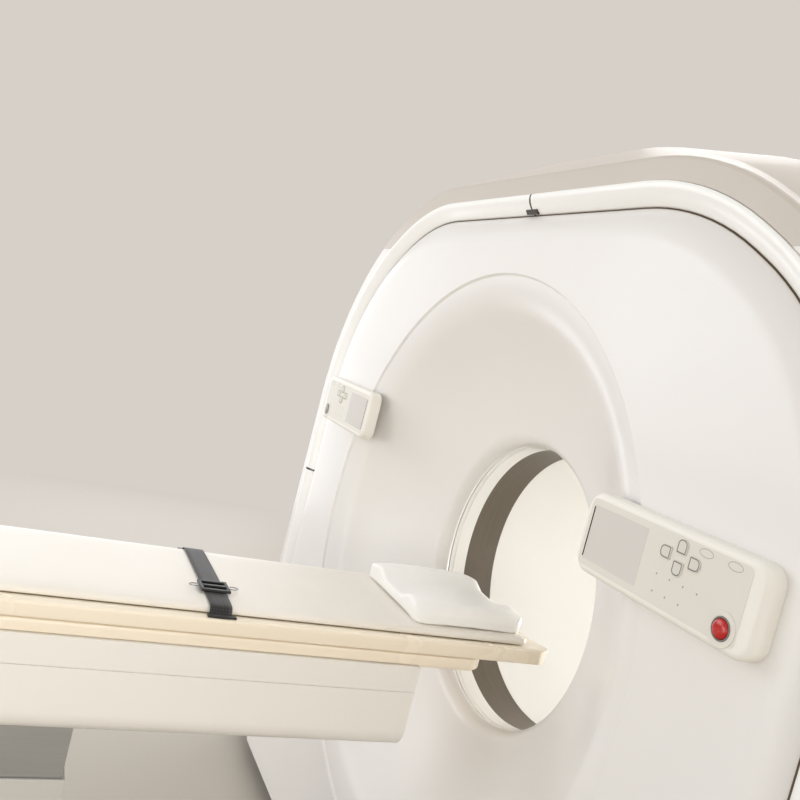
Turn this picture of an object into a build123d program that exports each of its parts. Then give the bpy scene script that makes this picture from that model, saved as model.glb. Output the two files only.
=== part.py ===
from build123d import *
import math
import os
from collections import namedtuple

os.makedirs("parts", exist_ok=True)

# A combined PET and CT scanner, in millimetres.
# The origin is on the floor under the CT scan plane. X points to the right of
# someone who faces the front, Y runs along the bore into the machine, Z is up.

# Scan axis, bore and gantry depths
ISO_HEIGHT = 1040.0
BORE_RADIUS = 350.0
FRONT_SETBACK = 342.0
CT_DEPTH = 930.0
GANTRY_GAP = 40.0
PET_DEPTH = 880.0

# Moulded covers
WALL = 5.0
SEAM = 0.6
COVER_BOTTOM = 60.0
SKIRT_BOTTOM = 40.0
END_FLARE = 75.0
END_FLARE_RADIUS = 470.0
BEYOND = 5000.0

# Arched outlines about the scan axis. Each has a half width, a top, a side and a top
# radius for its corners, and a short slant between the two; the shoulder and crown
# stand out from the rim, and the PET outline is inset from the crown
RIM_HALF_WIDTH = 1088.0
RIM_TOP = 927.0
RIM_SIDE_RADIUS = 645.0
RIM_TOP_RADIUS = 660.0
RIM_SLANT = 30.0
BODY_OVERHANG = 62.0
BODY_SIDE_RADIUS = 650.0
SHOULDER_RISE = 139.0
SHOULDER_RADIUS = 990.0
SHOULDER_SLANT = 207.0
CROWN_RISE = 164.0
CROWN_RADIUS = 1000.0
CROWN_SLANT = 115.0
PET_INSET = 30.0
PET_DROP = 41.0
PET_SIDE_RADIUS = 640.0
PET_TOP_RADIUS = 900.0
PET_SLANT = 100.0
CORNER_SPLIT = 60.0
CORNER_END = 90.0

# Front rim, flange and cap
RIM_DEPTH = 40.0
RIM_BAND = 30.0
RIM_CREST = 8.0
FLANGE = 52.0
FLANGE_SETBACK = 6.0
FLANGE_EDGE = 8.0
SHOULDER_DEPTH = 150.0
CROWN_DEPTH = 300.0
CAP_JOINT = 835.0

# Front cover: pillowed edge, concave dish and bore lip
PILLOW_RADIUS = 107.0
DISH_RADIUS = 733.0
LIP_RADIUS = 45.0
LIP_DEPTH = 240.0
DISH_STEPS = 4
DISH_BACK_STEPS = 3
LIP_STEPS = 3
PILLOW_STEPS = 3
PILLOW_BACK_STEPS = 2

# Bore rings, from the lip to the scan window
WINDOW_WIDTH = 94.0
WINDOW_WALL = 3.0

# Laser windows in the rim
LASER_SLIT = 5.0
LASER_LENS_WIDTH = 44.0
LASER_LENS_HEIGHT = 13.0

# Control panels on the front cover
PANEL_MARGIN = 103.0
PANEL_LENGTH = 425.0
PANEL_HEIGHT = 143.0
PANEL_CENTRE_Z = 278.5
PANEL_DEPTH = 36.0
PANEL_CORNER = 22.0
PANEL_BEVEL = 11.0
FASCIA_INSET = 12.0
FASCIA_LENGTH = 374.0
FASCIA_THICKNESS = 2.5
FASCIA_CORNER = 10.0
DISPLAY_LENGTH = 142.0
DISPLAY_HEIGHT = 96.0
DISPLAY_THICKNESS = 1.5
ARROW_CENTRE = 247.0
ARROW_RISE = 27.0
ARROW_SPREAD_X = 32.0
ARROW_SPREAD_Z = 17.5
ARROW_WIDTH = 22.0
ARROW_LENGTH = 24.0
ARROW_TIP_HALF = 4.0
ARROW_POCKET_MARGIN = 2.0
KEY_PROUD = 2.0
KEY_TRAVEL = 1.2
KEY_GAP = 0.4
KEY_DEPTH = 6.0
STOP_CENTRE = 357.0
STOP_DROP = 39.5
STOP_RADIUS = 20.0
STOP_HEIGHT = 9.0
STOP_STEM_HALF = 9.0
STOP_STEM_LENGTH = 14.0
STOP_TRAVEL = 4.0
STOP_WELL_GAP = 4.0
STOP_WELL_DEPTH = 8.0
STOP_COLLAR_WALL = 3.0
STOP_COLLAR_HEIGHT = 1.5
RUNNING_GAP = 0.05
SLIDE_GAP = 0.3

# Base frame and stator
BED_HALF_WIDTH = 900.0
BED_FRONT = -250.0
BED_BACK = 540.0
BED_PLATE = 30.0
BEAM_TOP = 180.0
BEAM_WIDTH = 120.0
BEAM_X = 700.0
ANCHOR_RADIUS = 9.0
ANCHOR_INSET = 50.0
OUTRIGGER_Y = 360.0
OUTRIGGER_WIDTH = 80.0
STATOR_FACE = 200.0
STATOR_THICKNESS = 30.0
STATOR_HALF_WIDTH = 800.0
STATOR_RISE = 760.0
STATOR_CHAMFER = 330.0
ARCHWAY_HALF_WIDTH = 480.0
ARCHWAY_TOP = 330.0

# Rotor
DRUM_FACE = 110.0
DRUM_BACK = 150.0
DRUM_INNER = 400.0
DRUM_RADIUS = 780.0
RACE_SPLIT = 480.0
RACE_OUTER = 520.0
RACE_CHAMFER = 300.0
RACE_SEAT = 20.0
SLIP_INNER = 600.0
SLIP_WIDTH = 90.0
SLIP_THICKNESS = 15.0
FOCUS_RADIUS = 570.0
TUBE_RADIUS = 95.0
TUBE_LIFT = 20.0
TUBE_FRONT = -120.0
COLLIMATOR_TOP_HALF = 110.0
COLLIMATOR_BOTTOM_HALF = 80.0
COLLIMATOR_FRONT = -60.0
COLLIMATOR_BASE = 420.0
DETECTOR_DISTANCE = 1040.0
DETECTOR_THICKNESS = 45.0
DETECTOR_HALF_FAN = 25.0
DETECTOR_FRONT = -45.0
UNIT_INNER = 440.0
UNIT_DEPTH = 280.0
UNIT_FRONT = -80.0
UNIT_HALF_HEIGHT = 150.0
UNIT_BORDER = 20.0
LID_THICKNESS = 15.0
FIN_COUNT = 9
FIN_PITCH = 32.0
FIN_SLOT = 16.0
FIN_DEPTH = 40.0
BRUSH_ANGLE = 150.0
BRUSH_INSET = 15.0

# Belt drive
DRIVE_SPAN = 60.0
DRIVE_ANGLE = -45.0
PULLEY_RADIUS = 60.0
PULLEY_WIDTH = 28.0
BELT_WIDTH = 24.0
BELT_THICKNESS = 5.0
BELT_CENTRE = 130.0
SHAFT_RADIUS = 14.0
MOTOR_RADIUS = 60.0
MOTOR_FLANGE = 80.0
MOTOR_FLANGE_THICKNESS = 12.0
MOTOR_LENGTH = 200.0
MOTOR_SOCKET = 20.0
SHAFT_END_GAP = 5.0

# PET gantry
RAIL_X = 600.0
RAIL_WIDTH = 60.0
RAIL_TOP = 58.0
RAIL_FOOT = 20.0
RAIL_FOOT_WIDTH = 140.0
RAIL_OVERRUN = 50.0
PET_TRAVEL = 300.0
PET_SKIRT_BOTTOM = 70.0
CARRIAGE_TOP = 150.0
CARRIAGE_BEAM = 160.0
CARRIAGE_CROSS_HEIGHT = 60.0
CARRIAGE_END_GAP = 60.0
GUIDE_CHEEK = 25.0
GUIDE_LIFT = 10.0
MODULE_COUNT = 28
MODULE_RADIUS = 440.0
MODULE_DEPTH = 25.0
MODULE_LENGTH = 180.0
PET_RING_WALL = 92.0
PET_RING_LENGTH = 216.0
PET_FOOT_HALF = 390.0

# Patient table: heights of its layers below the scan axis
PALLET_HALF_WIDTH = 215.0
PALLET_DROP = 92.0
PALLET_EDGE = 32.0
CARRIAGE_EDGE = 26.0
PALLET_LIP = 20.0
PALLET_DISH = 18.0
PALLET_KEEL = 11.0
PALLET_KEEL_HALF = 170.0
HOLLOW_STEPS = 5
EDGE_BEVEL = 6.0
CARRIAGE_KEEL = 28.0
CARRIAGE_KEEL_HALF = 150.0
PALLET_HEAD_Y = -82.0
PALLET_LENGTH = 2420.0
PALLET_CORNER = 60.0
PALLET_LEAD = 175.0
DECK_SETBACK = 350.0
DECK_HALF_WIDTH = 200.0
DECK_HEIGHT = 110.0
DECK_WALL = 10.0
CASING_HALF_WIDTH = 221.0
CASING_HEIGHT = 190.0
CASING_CORNER = 45.0
CASING_GROOVE_DROP = 55.0
CASING_GROOVE = 3.0
MATTRESS_TOP = 14.0
MATTRESS_MARGIN = 29.0
MATTRESS_END = 60.0
CUSHION_LENGTH = 300.0
CUSHION_HALF_WIDTH = 165.0
CUSHION_HEIGHT = 48.0
CUSHION_SIDE_HEIGHT = 29.0
CUSHION_BEVEL = 20.0
CUSHION_RIM = 50.0
CUSHION_SLOPE = 40.0
CUSHION_HOLLOW = 19.0
STRAP_Y = -877.0
STRAP_WIDTH = 45.0
STRAP_THICKNESS = 2.0
STRAP_CLEARANCE = 1.5
BUCKLE_X = 60.0
BUCKLE_LENGTH = 60.0
BUCKLE_WIDTH = 62.0
BUCKLE_HEIGHT = 7.0
CLIP_LENGTH = 14.0
CLIP_THICKNESS = 3.0

# Lift column under the deck
COLUMN_Y = -1700.0
COLUMN_LENGTH = 1200.0
COLUMN_WIDTH = 380.0
COLUMN_WALL = 6.0
STAGE_GAP = 0.5
OUTER_TOP = 420.0
MIDDLE_BOTTOM = 90.0
MIDDLE_TOP = 600.0
INNER_BOTTOM = 200.0
TABLE_BASE_HALF_WIDTH = 300.0
TABLE_BASE_LENGTH = 1500.0
TABLE_BASE_PLATE = 20.0
LINK_HALF_WIDTH = 110.0

BODY_HALF_WIDTH = RIM_HALF_WIDTH + BODY_OVERHANG
SHOULDER_TOP = RIM_TOP + SHOULDER_RISE
CROWN_TOP = RIM_TOP + CROWN_RISE
PET_HALF_WIDTH = BODY_HALF_WIDTH - PET_INSET
PET_TOP = CROWN_TOP - PET_DROP

Arch = namedtuple("Arch", "half_width top side_radius top_radius slant")
RIM = Arch(RIM_HALF_WIDTH, RIM_TOP, RIM_SIDE_RADIUS, RIM_TOP_RADIUS, RIM_SLANT)
SHOULDER = Arch(BODY_HALF_WIDTH, SHOULDER_TOP, BODY_SIDE_RADIUS, SHOULDER_RADIUS, SHOULDER_SLANT)
CROWN = Arch(BODY_HALF_WIDTH, CROWN_TOP, BODY_SIDE_RADIUS, CROWN_RADIUS, CROWN_SLANT)
PET_ARCH = Arch(PET_HALF_WIDTH, PET_TOP, PET_SIDE_RADIUS, PET_TOP_RADIUS, PET_SLANT)

FRONT_Y = -FRONT_SETBACK
CT_BACK_Y = FRONT_Y + CT_DEPTH
PET_FRONT_Y = CT_BACK_Y + GANTRY_GAP
PET_BACK_Y = PET_FRONT_Y + PET_DEPTH
PET_CENTRE_Y = PET_FRONT_Y + PET_DEPTH / 2
PANEL_FACE_Y = FRONT_Y - PANEL_DEPTH
PANEL_INNER_X = RIM_HALF_WIDTH - PANEL_MARGIN - PANEL_LENGTH
PALLET_TOP = ISO_HEIGHT - PALLET_DROP
PALLET_BOTTOM = PALLET_TOP - PALLET_EDGE
CARRIAGE_BOTTOM = PALLET_BOTTOM - CARRIAGE_EDGE
CASING_TOP = CARRIAGE_BOTTOM - SLIDE_GAP
DECK_FRONT = PALLET_HEAD_Y - DECK_SETBACK
MATTRESS_HALF_WIDTH = PALLET_HALF_WIDTH - MATTRESS_MARGIN


def polar(radius, degrees, centre=(0.0, 0.0)):
    """Point at a radius and angle from a centre, in a flat plane."""
    turn = math.radians(degrees)
    return centre[0] + radius * math.cos(turn), centre[1] + radius * math.sin(turn)


def arch_face(shape, y, grow=0.0, bottom=COVER_BOTTOM):
    """Arched gantry outline across the bore at depth y, grown or shrunk evenly."""
    split = (CORNER_SPLIT, (CORNER_SPLIT + CORNER_END) / 2)
    rise, run = math.sin(math.radians(split[0])), math.cos(math.radians(split[0]))
    side = shape.half_width - shape.side_radius
    top_z = shape.top - shape.top_radius
    side_z = top_z + (shape.top_radius - shape.side_radius) * rise - shape.slant * run
    top = side + (shape.side_radius - shape.top_radius) * run - shape.slant * rise
    side_r, top_r = shape.side_radius + grow, shape.top_radius + grow
    flat = [
        (shape.half_width + grow, side_z),
        polar(side_r, split[0] / 2, (side, side_z)),
        polar(side_r, split[0], (side, side_z)),
        polar(top_r, split[0], (top, top_z)),
        polar(top_r, split[1], (top, top_z)),
        (top, shape.top + grow),
    ]
    right = [Vector(x, y, ISO_HEIGHT + z) for x, z in flat]
    left = [Vector(-p.X, p.Y, p.Z) for p in right]
    foot_right = Vector(shape.half_width + grow, y, bottom)
    foot_left = Vector(-foot_right.X, y, bottom)
    edges = [
        Line(foot_left, foot_right),
        Line(foot_right, right[0]),
        ThreePointArc(*right[0:3]),
        Line(right[2], right[3]),
        ThreePointArc(*right[3:6]),
        Line(right[5], left[5]),
        ThreePointArc(left[5], left[4], left[3]),
        Line(left[3], left[2]),
        ThreePointArc(left[2], left[1], left[0]),
        Line(left[0], foot_left),
    ]
    return Face(Wire(edges))


def arch_block(shape, y_from, y_to, grow=0.0, bottom=COVER_BOTTOM):
    """Solid block with the arched outline between two depths."""
    return extrude(arch_face(shape, y_from, grow, bottom), amount=y_to - y_from, dir=(0, 1, 0))


def turned(points):
    """Solid turned about the scan axis from (radius, y) points."""
    return Pos(0, 0, ISO_HEIGHT) * revolve(make_face(Polyline(*points, close=True)), Axis.Y)


def ring(inner, outer, y_from, y_to):
    """Plain ring about the scan axis."""
    return turned([(inner, y_from), (outer, y_from), (outer, y_to), (inner, y_to)])


def block(x, y, z):
    """Box between two limits on each axis, each given as (low, high)."""
    size = [high - low for low, high in (x, y, z)]
    middle = [(high + low) / 2 for low, high in (x, y, z)]
    return Pos(*middle) * Box(*size)


def rod_y(radius, y_from, y_to, x, z):
    """Round bar along the scan axis direction."""
    centre = Pos(x, (y_from + y_to) / 2, z)
    return centre * Rot(90, 0, 0) * Cylinder(radius, y_to - y_from)


def mirrored(shape, side):
    """The right-hand shape itself, or its mirror image for the left side."""
    return shape if side > 0 else mirror(shape, about=Plane.YZ)


def pillow_block(offset, steps):
    """Front cover block whose rounded edge is turned in even steps, less an offset."""
    start = math.asin(1 - RIM_DEPTH / PILLOW_RADIUS)
    rows = []
    for k in range(steps + 1):
        turn = start + (math.pi / 2 - start) * k / steps
        depth = PILLOW_RADIUS * (1 - math.sin(turn))
        rows.append((FRONT_Y + depth + offset, PILLOW_RADIUS * (math.cos(start) - math.cos(turn))))
    block_edge = -RIM_BAND - SEAM - offset
    body = None
    for (y, inset), (next_y, next_inset) in zip(rows, rows[1:]):
        base = arch_face(RIM, y, block_edge - inset, COVER_BOTTOM - BEYOND)
        taper = math.degrees(math.atan((next_inset - inset) / (y - next_y)))
        layer = extrude(base, amount=y - next_y, dir=(0, -1, 0), taper=taper)
        body = layer if body is None else body + layer
    return body & block((-BEYOND, BEYOND), (-BEYOND, BEYOND), (COVER_BOTTOM + offset, BEYOND))


def dish_sphere():
    """Radius of the dish and how far its centre lies before the front face.

    The dish is part of a sphere about the scan axis that starts at the dish's
    edge and runs tangent into the round lip of the bore.
    """
    lip = BORE_RADIUS + LIP_RADIUS
    a = (DISH_RADIUS**2 + LIP_RADIUS**2 - lip**2 - LIP_DEPTH**2) / 2
    # LIP_DEPTH * h - a = LIP_RADIUS * sqrt(DISH_RADIUS**2 + h**2)
    square, linear = LIP_DEPTH**2 - LIP_RADIUS**2, LIP_DEPTH * a
    constant = a**2 - (LIP_RADIUS * DISH_RADIUS) ** 2
    h = (linear + math.sqrt(linear**2 - square * constant)) / square
    return math.hypot(DISH_RADIUS, h), h


def dish_section():
    """Half section of the dish wall and bore lip, as a face of (radius, y)."""
    radius, centre_depth = dish_sphere()
    centre_y = FRONT_Y - centre_depth
    lip_centre = (BORE_RADIUS + LIP_RADIUS, FRONT_Y + LIP_DEPTH)
    edge = math.asin(DISH_RADIUS / radius)
    lip = math.atan2(lip_centre[0], lip_centre[1] - centre_y)

    def on_dish(angle, depth):
        return (radius + depth) * math.sin(angle), centre_y + (radius + depth) * math.cos(angle)

    def on_lip(angle, depth):
        reach = LIP_RADIUS - depth
        return lip_centre[0] - reach * math.sin(angle), lip_centre[1] - reach * math.cos(angle)

    quarter = math.pi / 2

    def spread(first, last, steps):
        return [first + (last - first) * k / steps for k in range(steps + 1)]

    front = [on_dish(a, 0.0) for a in spread(edge, lip, DISH_STEPS)]
    front += [on_lip(a, 0.0) for a in spread(lip, quarter, LIP_STEPS)[1:]]
    back = [on_dish(a, WALL) for a in spread(edge, lip, DISH_BACK_STEPS)]
    back += [on_lip(a, WALL) for a in spread(lip, quarter, LIP_STEPS - 1)[1:]]
    return make_face(Polyline(*front, *reversed(back), close=True))


def front_cover():
    """Moulded front cover: flat face, pillowed edge, concave dish and bore lip."""
    plate = pillow_block(0.0, PILLOW_STEPS) - pillow_block(WALL, PILLOW_BACK_STEPS)
    opening = rod_y(DISH_RADIUS, FRONT_Y - 1, FRONT_Y + RIM_DEPTH, 0, ISO_HEIGHT)
    dish = Pos(0, 0, ISO_HEIGHT) * revolve(dish_section(), Axis.Y)
    return plate - opening + dish


def rim_solid():
    """Raised band round the front cover, sloping back from its crest to the seam."""
    back = FRONT_Y + RIM_DEPTH
    body = arch_block(RIM, FRONT_Y, back + FLANGE_SETBACK)
    slope = (RIM_BAND - RIM_CREST) / RIM_DEPTH
    low = COVER_BOTTOM - 1
    cut = loft([
        arch_face(RIM, FRONT_Y - 1, slope - RIM_CREST, low),
        arch_face(RIM, back, -RIM_BAND, low),
    ], ruled=True)
    return body - cut - arch_block(RIM, back, back + 2 * FLANGE_SETBACK, -RIM_BAND, low)


def laser_slots():
    """Volumes of the laser windows: a slit across the band and a lens by the seam."""
    depth = (FRONT_Y - 1, FRONT_Y + RIM_DEPTH + FLANGE_SETBACK + 1)
    top = ISO_HEIGHT + RIM.top
    seam = top - RIM_BAND
    half = LASER_SLIT / 2
    lens = block(
        (-LASER_LENS_WIDTH / 2, LASER_LENS_WIDTH / 2), depth, (seam - 1, seam + LASER_LENS_HEIGHT)
    )
    slots = [block((-half, half), depth, (seam - 1, top + 1)) + lens]
    for side in (-1, 1):
        span = sorted((side * (RIM.half_width - RIM_BAND - 1), side * (RIM.half_width + 1)))
        slots.append(block(span, depth, (ISO_HEIGHT - half, ISO_HEIGHT + half)))
    return slots


def front_rim():
    """Rim band with its three laser slots left open."""
    rim = rim_solid()
    for slot in laser_slots():
        rim = rim - slot
    return rim


def laser_windows():
    """Dark windows that fill the three slots flush with the band."""
    rim = rim_solid()
    return [rim & slot for slot in laser_slots()]


def cover_solid():
    """Outer gantry envelope from the flange to the back."""
    flange_y = FRONT_Y + FLANGE_SETBACK
    sections = [
        arch_face(RIM, flange_y, FLANGE - FLANGE_EDGE, SKIRT_BOTTOM),
        arch_face(RIM, flange_y + FLANGE_EDGE, FLANGE, SKIRT_BOTTOM),
        arch_face(SHOULDER, FRONT_Y + SHOULDER_DEPTH, 0.0, SKIRT_BOTTOM),
        arch_face(CROWN, FRONT_Y + CROWN_DEPTH, 0.0, SKIRT_BOTTOM),
        arch_face(CROWN, CT_BACK_Y, 0.0, SKIRT_BOTTOM),
    ]
    return loft(sections, ruled=True)


def cover_shell():
    """Gantry's top and sides, hollow inside, open for the rim and at the back."""
    low = SKIRT_BOTTOM - 1
    shell = cover_solid() - arch_block(RIM, FRONT_Y - 1, FRONT_Y + SHOULDER_DEPTH / 2, SEAM, low)
    flange_back = FRONT_Y + FLANGE_SETBACK + WALL
    shell -= arch_block(RIM, flange_back, FRONT_Y + SHOULDER_DEPTH, FLANGE - FLANGE_EDGE, low)
    shell -= arch_block(SHOULDER, FRONT_Y + SHOULDER_DEPTH, FRONT_Y + CROWN_DEPTH, -WALL, low)
    return shell - arch_block(CROWN, FRONT_Y + CROWN_DEPTH, CT_BACK_Y + 1, -WALL, low)


def cap_region(gap):
    """Space of the bevelled cap, less a seam gap along its joints."""
    return block(
        (-BEYOND, BEYOND),
        (FRONT_Y - 1, FRONT_Y + SHOULDER_DEPTH - gap),
        (ISO_HEIGHT + CAP_JOINT + gap, BEYOND),
    )


def top_cover():
    """Bevelled cap over the top of the rim, down to the joints at the corners."""
    return cover_shell() & cap_region(SEAM)


def side_cover(side):
    """One side of the gantry, reaching over the top to the centre line."""
    half = block(sorted((side * SEAM / 2, side * BEYOND)), (FRONT_Y - 1, CT_BACK_Y), (0, BEYOND))
    return (cover_shell() - cap_region(0.0)) & half


def end_panel(shape, y_from, bottom, hole):
    """Flat end panel of one wall's thickness with a round hole for the bore."""
    panel = arch_block(shape, y_from, y_from + WALL, -WALL - SEAM, bottom)
    return panel - rod_y(hole, y_from - 1, y_from + WALL + 1, 0, ISO_HEIGHT)


def ct_rear_cover():
    """Back cover of the CT gantry, in one piece with its bore tube."""
    tube = ring(BORE_RADIUS, BORE_RADIUS + WALL, WINDOW_WIDTH / 2 + SEAM, CT_BACK_Y)
    return end_panel(CROWN, CT_BACK_Y - WALL, COVER_BOTTOM, BORE_RADIUS) + tube


def bore_entry_ring():
    """Cream ring between the lip and the scan window."""
    start = FRONT_Y + LIP_DEPTH + SEAM
    return ring(BORE_RADIUS, BORE_RADIUS + WALL, start, -WINDOW_WIDTH / 2 - SEAM)


def scan_window():
    """Thin dark ring that the beam passes through."""
    return ring(BORE_RADIUS, BORE_RADIUS + WINDOW_WALL, -WINDOW_WIDTH / 2, WINDOW_WIDTH / 2)


def panel_slab(length, height, corner, x_centre, depth):
    """Slab with rounded corners on the panel face, between two depths."""
    plane = Plane(
        origin=(PANEL_INNER_X + x_centre, PANEL_FACE_Y + depth[0], ISO_HEIGHT + PANEL_CENTRE_Z),
        x_dir=(1, 0, 0),
        z_dir=(0, 1, 0),
    )
    return extrude(plane * RectangleRounded(length, height, corner), amount=depth[1] - depth[0])


def panel_point(x, z, depth):
    """Point on the right-hand panel, from its inner end and the middle of its face."""
    return PANEL_INNER_X + x, PANEL_FACE_Y + depth, ISO_HEIGHT + PANEL_CENTRE_Z + z


def fascia_centre():
    """Middle of the keypad fascia along the panel."""
    return FASCIA_INSET + FASCIA_LENGTH / 2


def display_centre():
    """Middle of the display along the panel."""
    return FASCIA_INSET + FASCIA_INSET + DISPLAY_LENGTH / 2


def arrow_key_shape(grow):
    """Outline of a key that points along its own X, with cut corners at its outer end."""
    reach = ARROW_LENGTH / 2 + grow
    half = ARROW_WIDTH / 2 + grow
    cut_off = half - ARROW_TIP_HALF
    return make_face(Polyline(
        (-reach, -half), (reach - cut_off, -half), (reach, -ARROW_TIP_HALF),
        (reach, ARROW_TIP_HALF), (reach - cut_off, half), (-reach, half), close=True,
    ))


def arrow_key_solid(turn, spread, depth, grow=0.0):
    """One arrow key of the right-hand panel, or its pocket where it is grown."""
    plane = Plane(
        origin=panel_point(ARROW_CENTRE, ARROW_RISE, depth[0]), x_dir=(1, 0, 0), z_dir=(0, 1, 0)
    )
    outline = plane * (Rot(0, 0, turn) * (Pos(spread, 0) * arrow_key_shape(grow)))
    return extrude(outline, amount=depth[1] - depth[0])


def stop_well(radius, depth):
    """Round space about the emergency stop of the right-hand panel."""
    x, y, z = panel_point(STOP_CENTRE, -STOP_DROP, 0)
    return rod_y(radius, y + depth[0], y + depth[1], x, z)


ARROW_KEYS = {
    "outer": (0, ARROW_SPREAD_X),
    "down": (90, ARROW_SPREAD_Z),
    "inner": (180, ARROW_SPREAD_X),
    "up": (270, ARROW_SPREAD_Z),
}
STOP_WELL_RADIUS = STOP_RADIUS + STOP_WELL_GAP
STOP_COLLAR_RADIUS = STOP_WELL_RADIUS + STOP_COLLAR_WALL
STOP_HEAD_BACK = STOP_WELL_DEPTH - STOP_TRAVEL - SLIDE_GAP


def stop_stem(gap, depth):
    """Square stem of the emergency stop, or its guide where it has a gap."""
    x, y, z = panel_point(STOP_CENTRE, -STOP_DROP, 0)
    half = STOP_STEM_HALF + gap
    return block((x - half, x + half), (y + depth[0], y + depth[1]), (z - half, z + half))


def arrow_pocket():
    """Pocket behind the fascia that the four arrow keys stand in."""
    x, y, z = panel_point(ARROW_CENTRE, ARROW_RISE, 0)
    reach = ARROW_SPREAD_X + ARROW_LENGTH / 2 + ARROW_POCKET_MARGIN
    rise = ARROW_SPREAD_Z + ARROW_LENGTH / 2 + ARROW_POCKET_MARGIN
    floor = KEY_DEPTH + KEY_TRAVEL
    return block((x - reach, x + reach), (y, y + floor), (z - rise, z + rise))


def panel_housing(side):
    """Thick rounded housing with recesses for fascia, keys and stop button."""
    middle = PANEL_LENGTH / 2
    body = panel_slab(PANEL_LENGTH, PANEL_HEIGHT, PANEL_CORNER, middle, (0, PANEL_DEPTH))
    face_edges = [e for e in body.edges() if e.center().Y < PANEL_FACE_Y + 1]
    body = chamfer(face_edges, PANEL_BEVEL)
    recess = panel_slab(
        FASCIA_LENGTH + SEAM, PANEL_HEIGHT - 2 * FASCIA_INSET + SEAM, FASCIA_CORNER,
        fascia_centre(), (-1, FASCIA_THICKNESS),
    )
    well_floor = STOP_WELL_DEPTH
    bore_end = well_floor + STOP_STEM_LENGTH + STOP_TRAVEL
    body = body - recess + stop_well(STOP_COLLAR_RADIUS, (-STOP_COLLAR_HEIGHT, FASCIA_THICKNESS + 1))
    body = body - stop_well(STOP_WELL_RADIUS, (-PANEL_DEPTH, well_floor))
    body = body - stop_stem(RUNNING_GAP, (0, bore_end)) - arrow_pocket()
    return mirrored(body, side)


def keypad(side):
    """Keypad fascia, cut out for display, arrow keys and stop collar."""
    height = PANEL_HEIGHT - 2 * FASCIA_INSET
    plate = panel_slab(
        FASCIA_LENGTH, height, FASCIA_CORNER, fascia_centre(), (0, FASCIA_THICKNESS)
    )
    plate = plate - display_block(SEAM / 2, (-1, DISPLAY_THICKNESS))
    plate = plate - stop_well(STOP_COLLAR_RADIUS + SLIDE_GAP, (-1, PANEL_DEPTH))
    for turn, spread in ARROW_KEYS.values():
        plate = plate - arrow_key_solid(turn, spread, (-1, PANEL_DEPTH), KEY_GAP)
    return mirrored(plate, side)


def display_block(gap, depth):
    """Volume of the right-hand display lens, or its pocket where it has a gap."""
    x, y, z = panel_point(display_centre(), 0, 0)
    half_x, half_z = DISPLAY_LENGTH / 2 + gap, DISPLAY_HEIGHT / 2 + gap
    return block((x - half_x, x + half_x), (y + depth[0], y + depth[1]), (z - half_z, z + half_z))


def panel_display(side):
    """Clear display lens let into the fascia."""
    return mirrored(display_block(0.0, (0, DISPLAY_THICKNESS)), side)


def arrow_key(side, turn, spread):
    """One arrow key, proud of the fascia."""
    return mirrored(arrow_key_solid(turn, spread, (-KEY_PROUD, KEY_DEPTH)), side)


def stop_button(side):
    """Round-headed emergency stop with its stem."""
    head = stop_well(STOP_RADIUS, (STOP_HEAD_BACK - STOP_HEIGHT, STOP_HEAD_BACK))
    stem = stop_stem(0.0, (0, STOP_WELL_DEPTH + STOP_STEM_LENGTH))
    return mirrored(head + stem, side)


def base_frame():
    """Welded base: bed plate with anchor holes, two beams and side outriggers."""
    frame = block((-BED_HALF_WIDTH, BED_HALF_WIDTH), (BED_FRONT, BED_BACK), (0, BED_PLATE))
    half = BEAM_WIDTH / 2
    reach = CROWN.half_width - WALL - SLIDE_GAP
    for side in (-1, 1):
        beam = (side * BEAM_X - half, side * BEAM_X + half)
        frame += block(beam, (BED_FRONT, BED_BACK), (BED_PLATE, BEAM_TOP))
        span = sorted((side * BEAM_X, side * reach))
        frame += block(span, (OUTRIGGER_Y, OUTRIGGER_Y + OUTRIGGER_WIDTH), (COVER_BOTTOM, BEAM_TOP))
    for x in (-1, 1):
        for y in (BED_FRONT + ANCHOR_INSET, BED_BACK - ANCHOR_INSET):
            hole = Cylinder(ANCHOR_RADIUS, 3 * BED_PLATE)
            frame -= Pos(x * (BED_HALF_WIDTH - ANCHOR_INSET), y, 0) * hole
    return frame


def drive_centre():
    """Centre of the drive pulley across the bore."""
    x, z = polar(DRUM_RADIUS + DRIVE_SPAN + PULLEY_RADIUS, DRIVE_ANGLE)
    return x, ISO_HEIGHT + z


def stator_frame():
    """Upright plate with cut corners and a foot arch; it carries bearing and motor."""
    depth = (STATOR_FACE, STATOR_FACE + STATOR_THICKNESS)
    plate = block(
        (-STATOR_HALF_WIDTH, STATOR_HALF_WIDTH), depth, (BEAM_TOP, ISO_HEIGHT + STATOR_RISE)
    )
    corners = [e for e in plate.edges().filter_by(Axis.Y) if e.center().Z > ISO_HEIGHT]
    plate = chamfer(corners, STATOR_CHAMFER)
    plate -= block((-ARCHWAY_HALF_WIDTH, ARCHWAY_HALF_WIDTH), depth, (BEAM_TOP, ARCHWAY_TOP))
    x, z = drive_centre()
    plate -= rod_y(MOTOR_RADIUS + SLIDE_GAP, depth[0] - 1, depth[1] + 1, x, z)
    return plate - rod_y(RACE_OUTER - RACE_SEAT, depth[0] - 1, depth[1] + 1, 0, ISO_HEIGHT)


def main_bearing():
    """Housing of the main bearing, a square block bolted to the stator plate."""
    depth = (DRUM_BACK + STAGE_GAP, STATOR_FACE)
    body = block(
        (-RACE_OUTER, RACE_OUTER), depth, (ISO_HEIGHT - RACE_OUTER, ISO_HEIGHT + RACE_OUTER)
    )
    body = chamfer(body.edges().filter_by(Axis.Y), RACE_CHAMFER)
    return body - rod_y(RACE_SPLIT + RUNNING_GAP, depth[0] - 1, depth[1] + 1, 0, ISO_HEIGHT)


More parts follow.
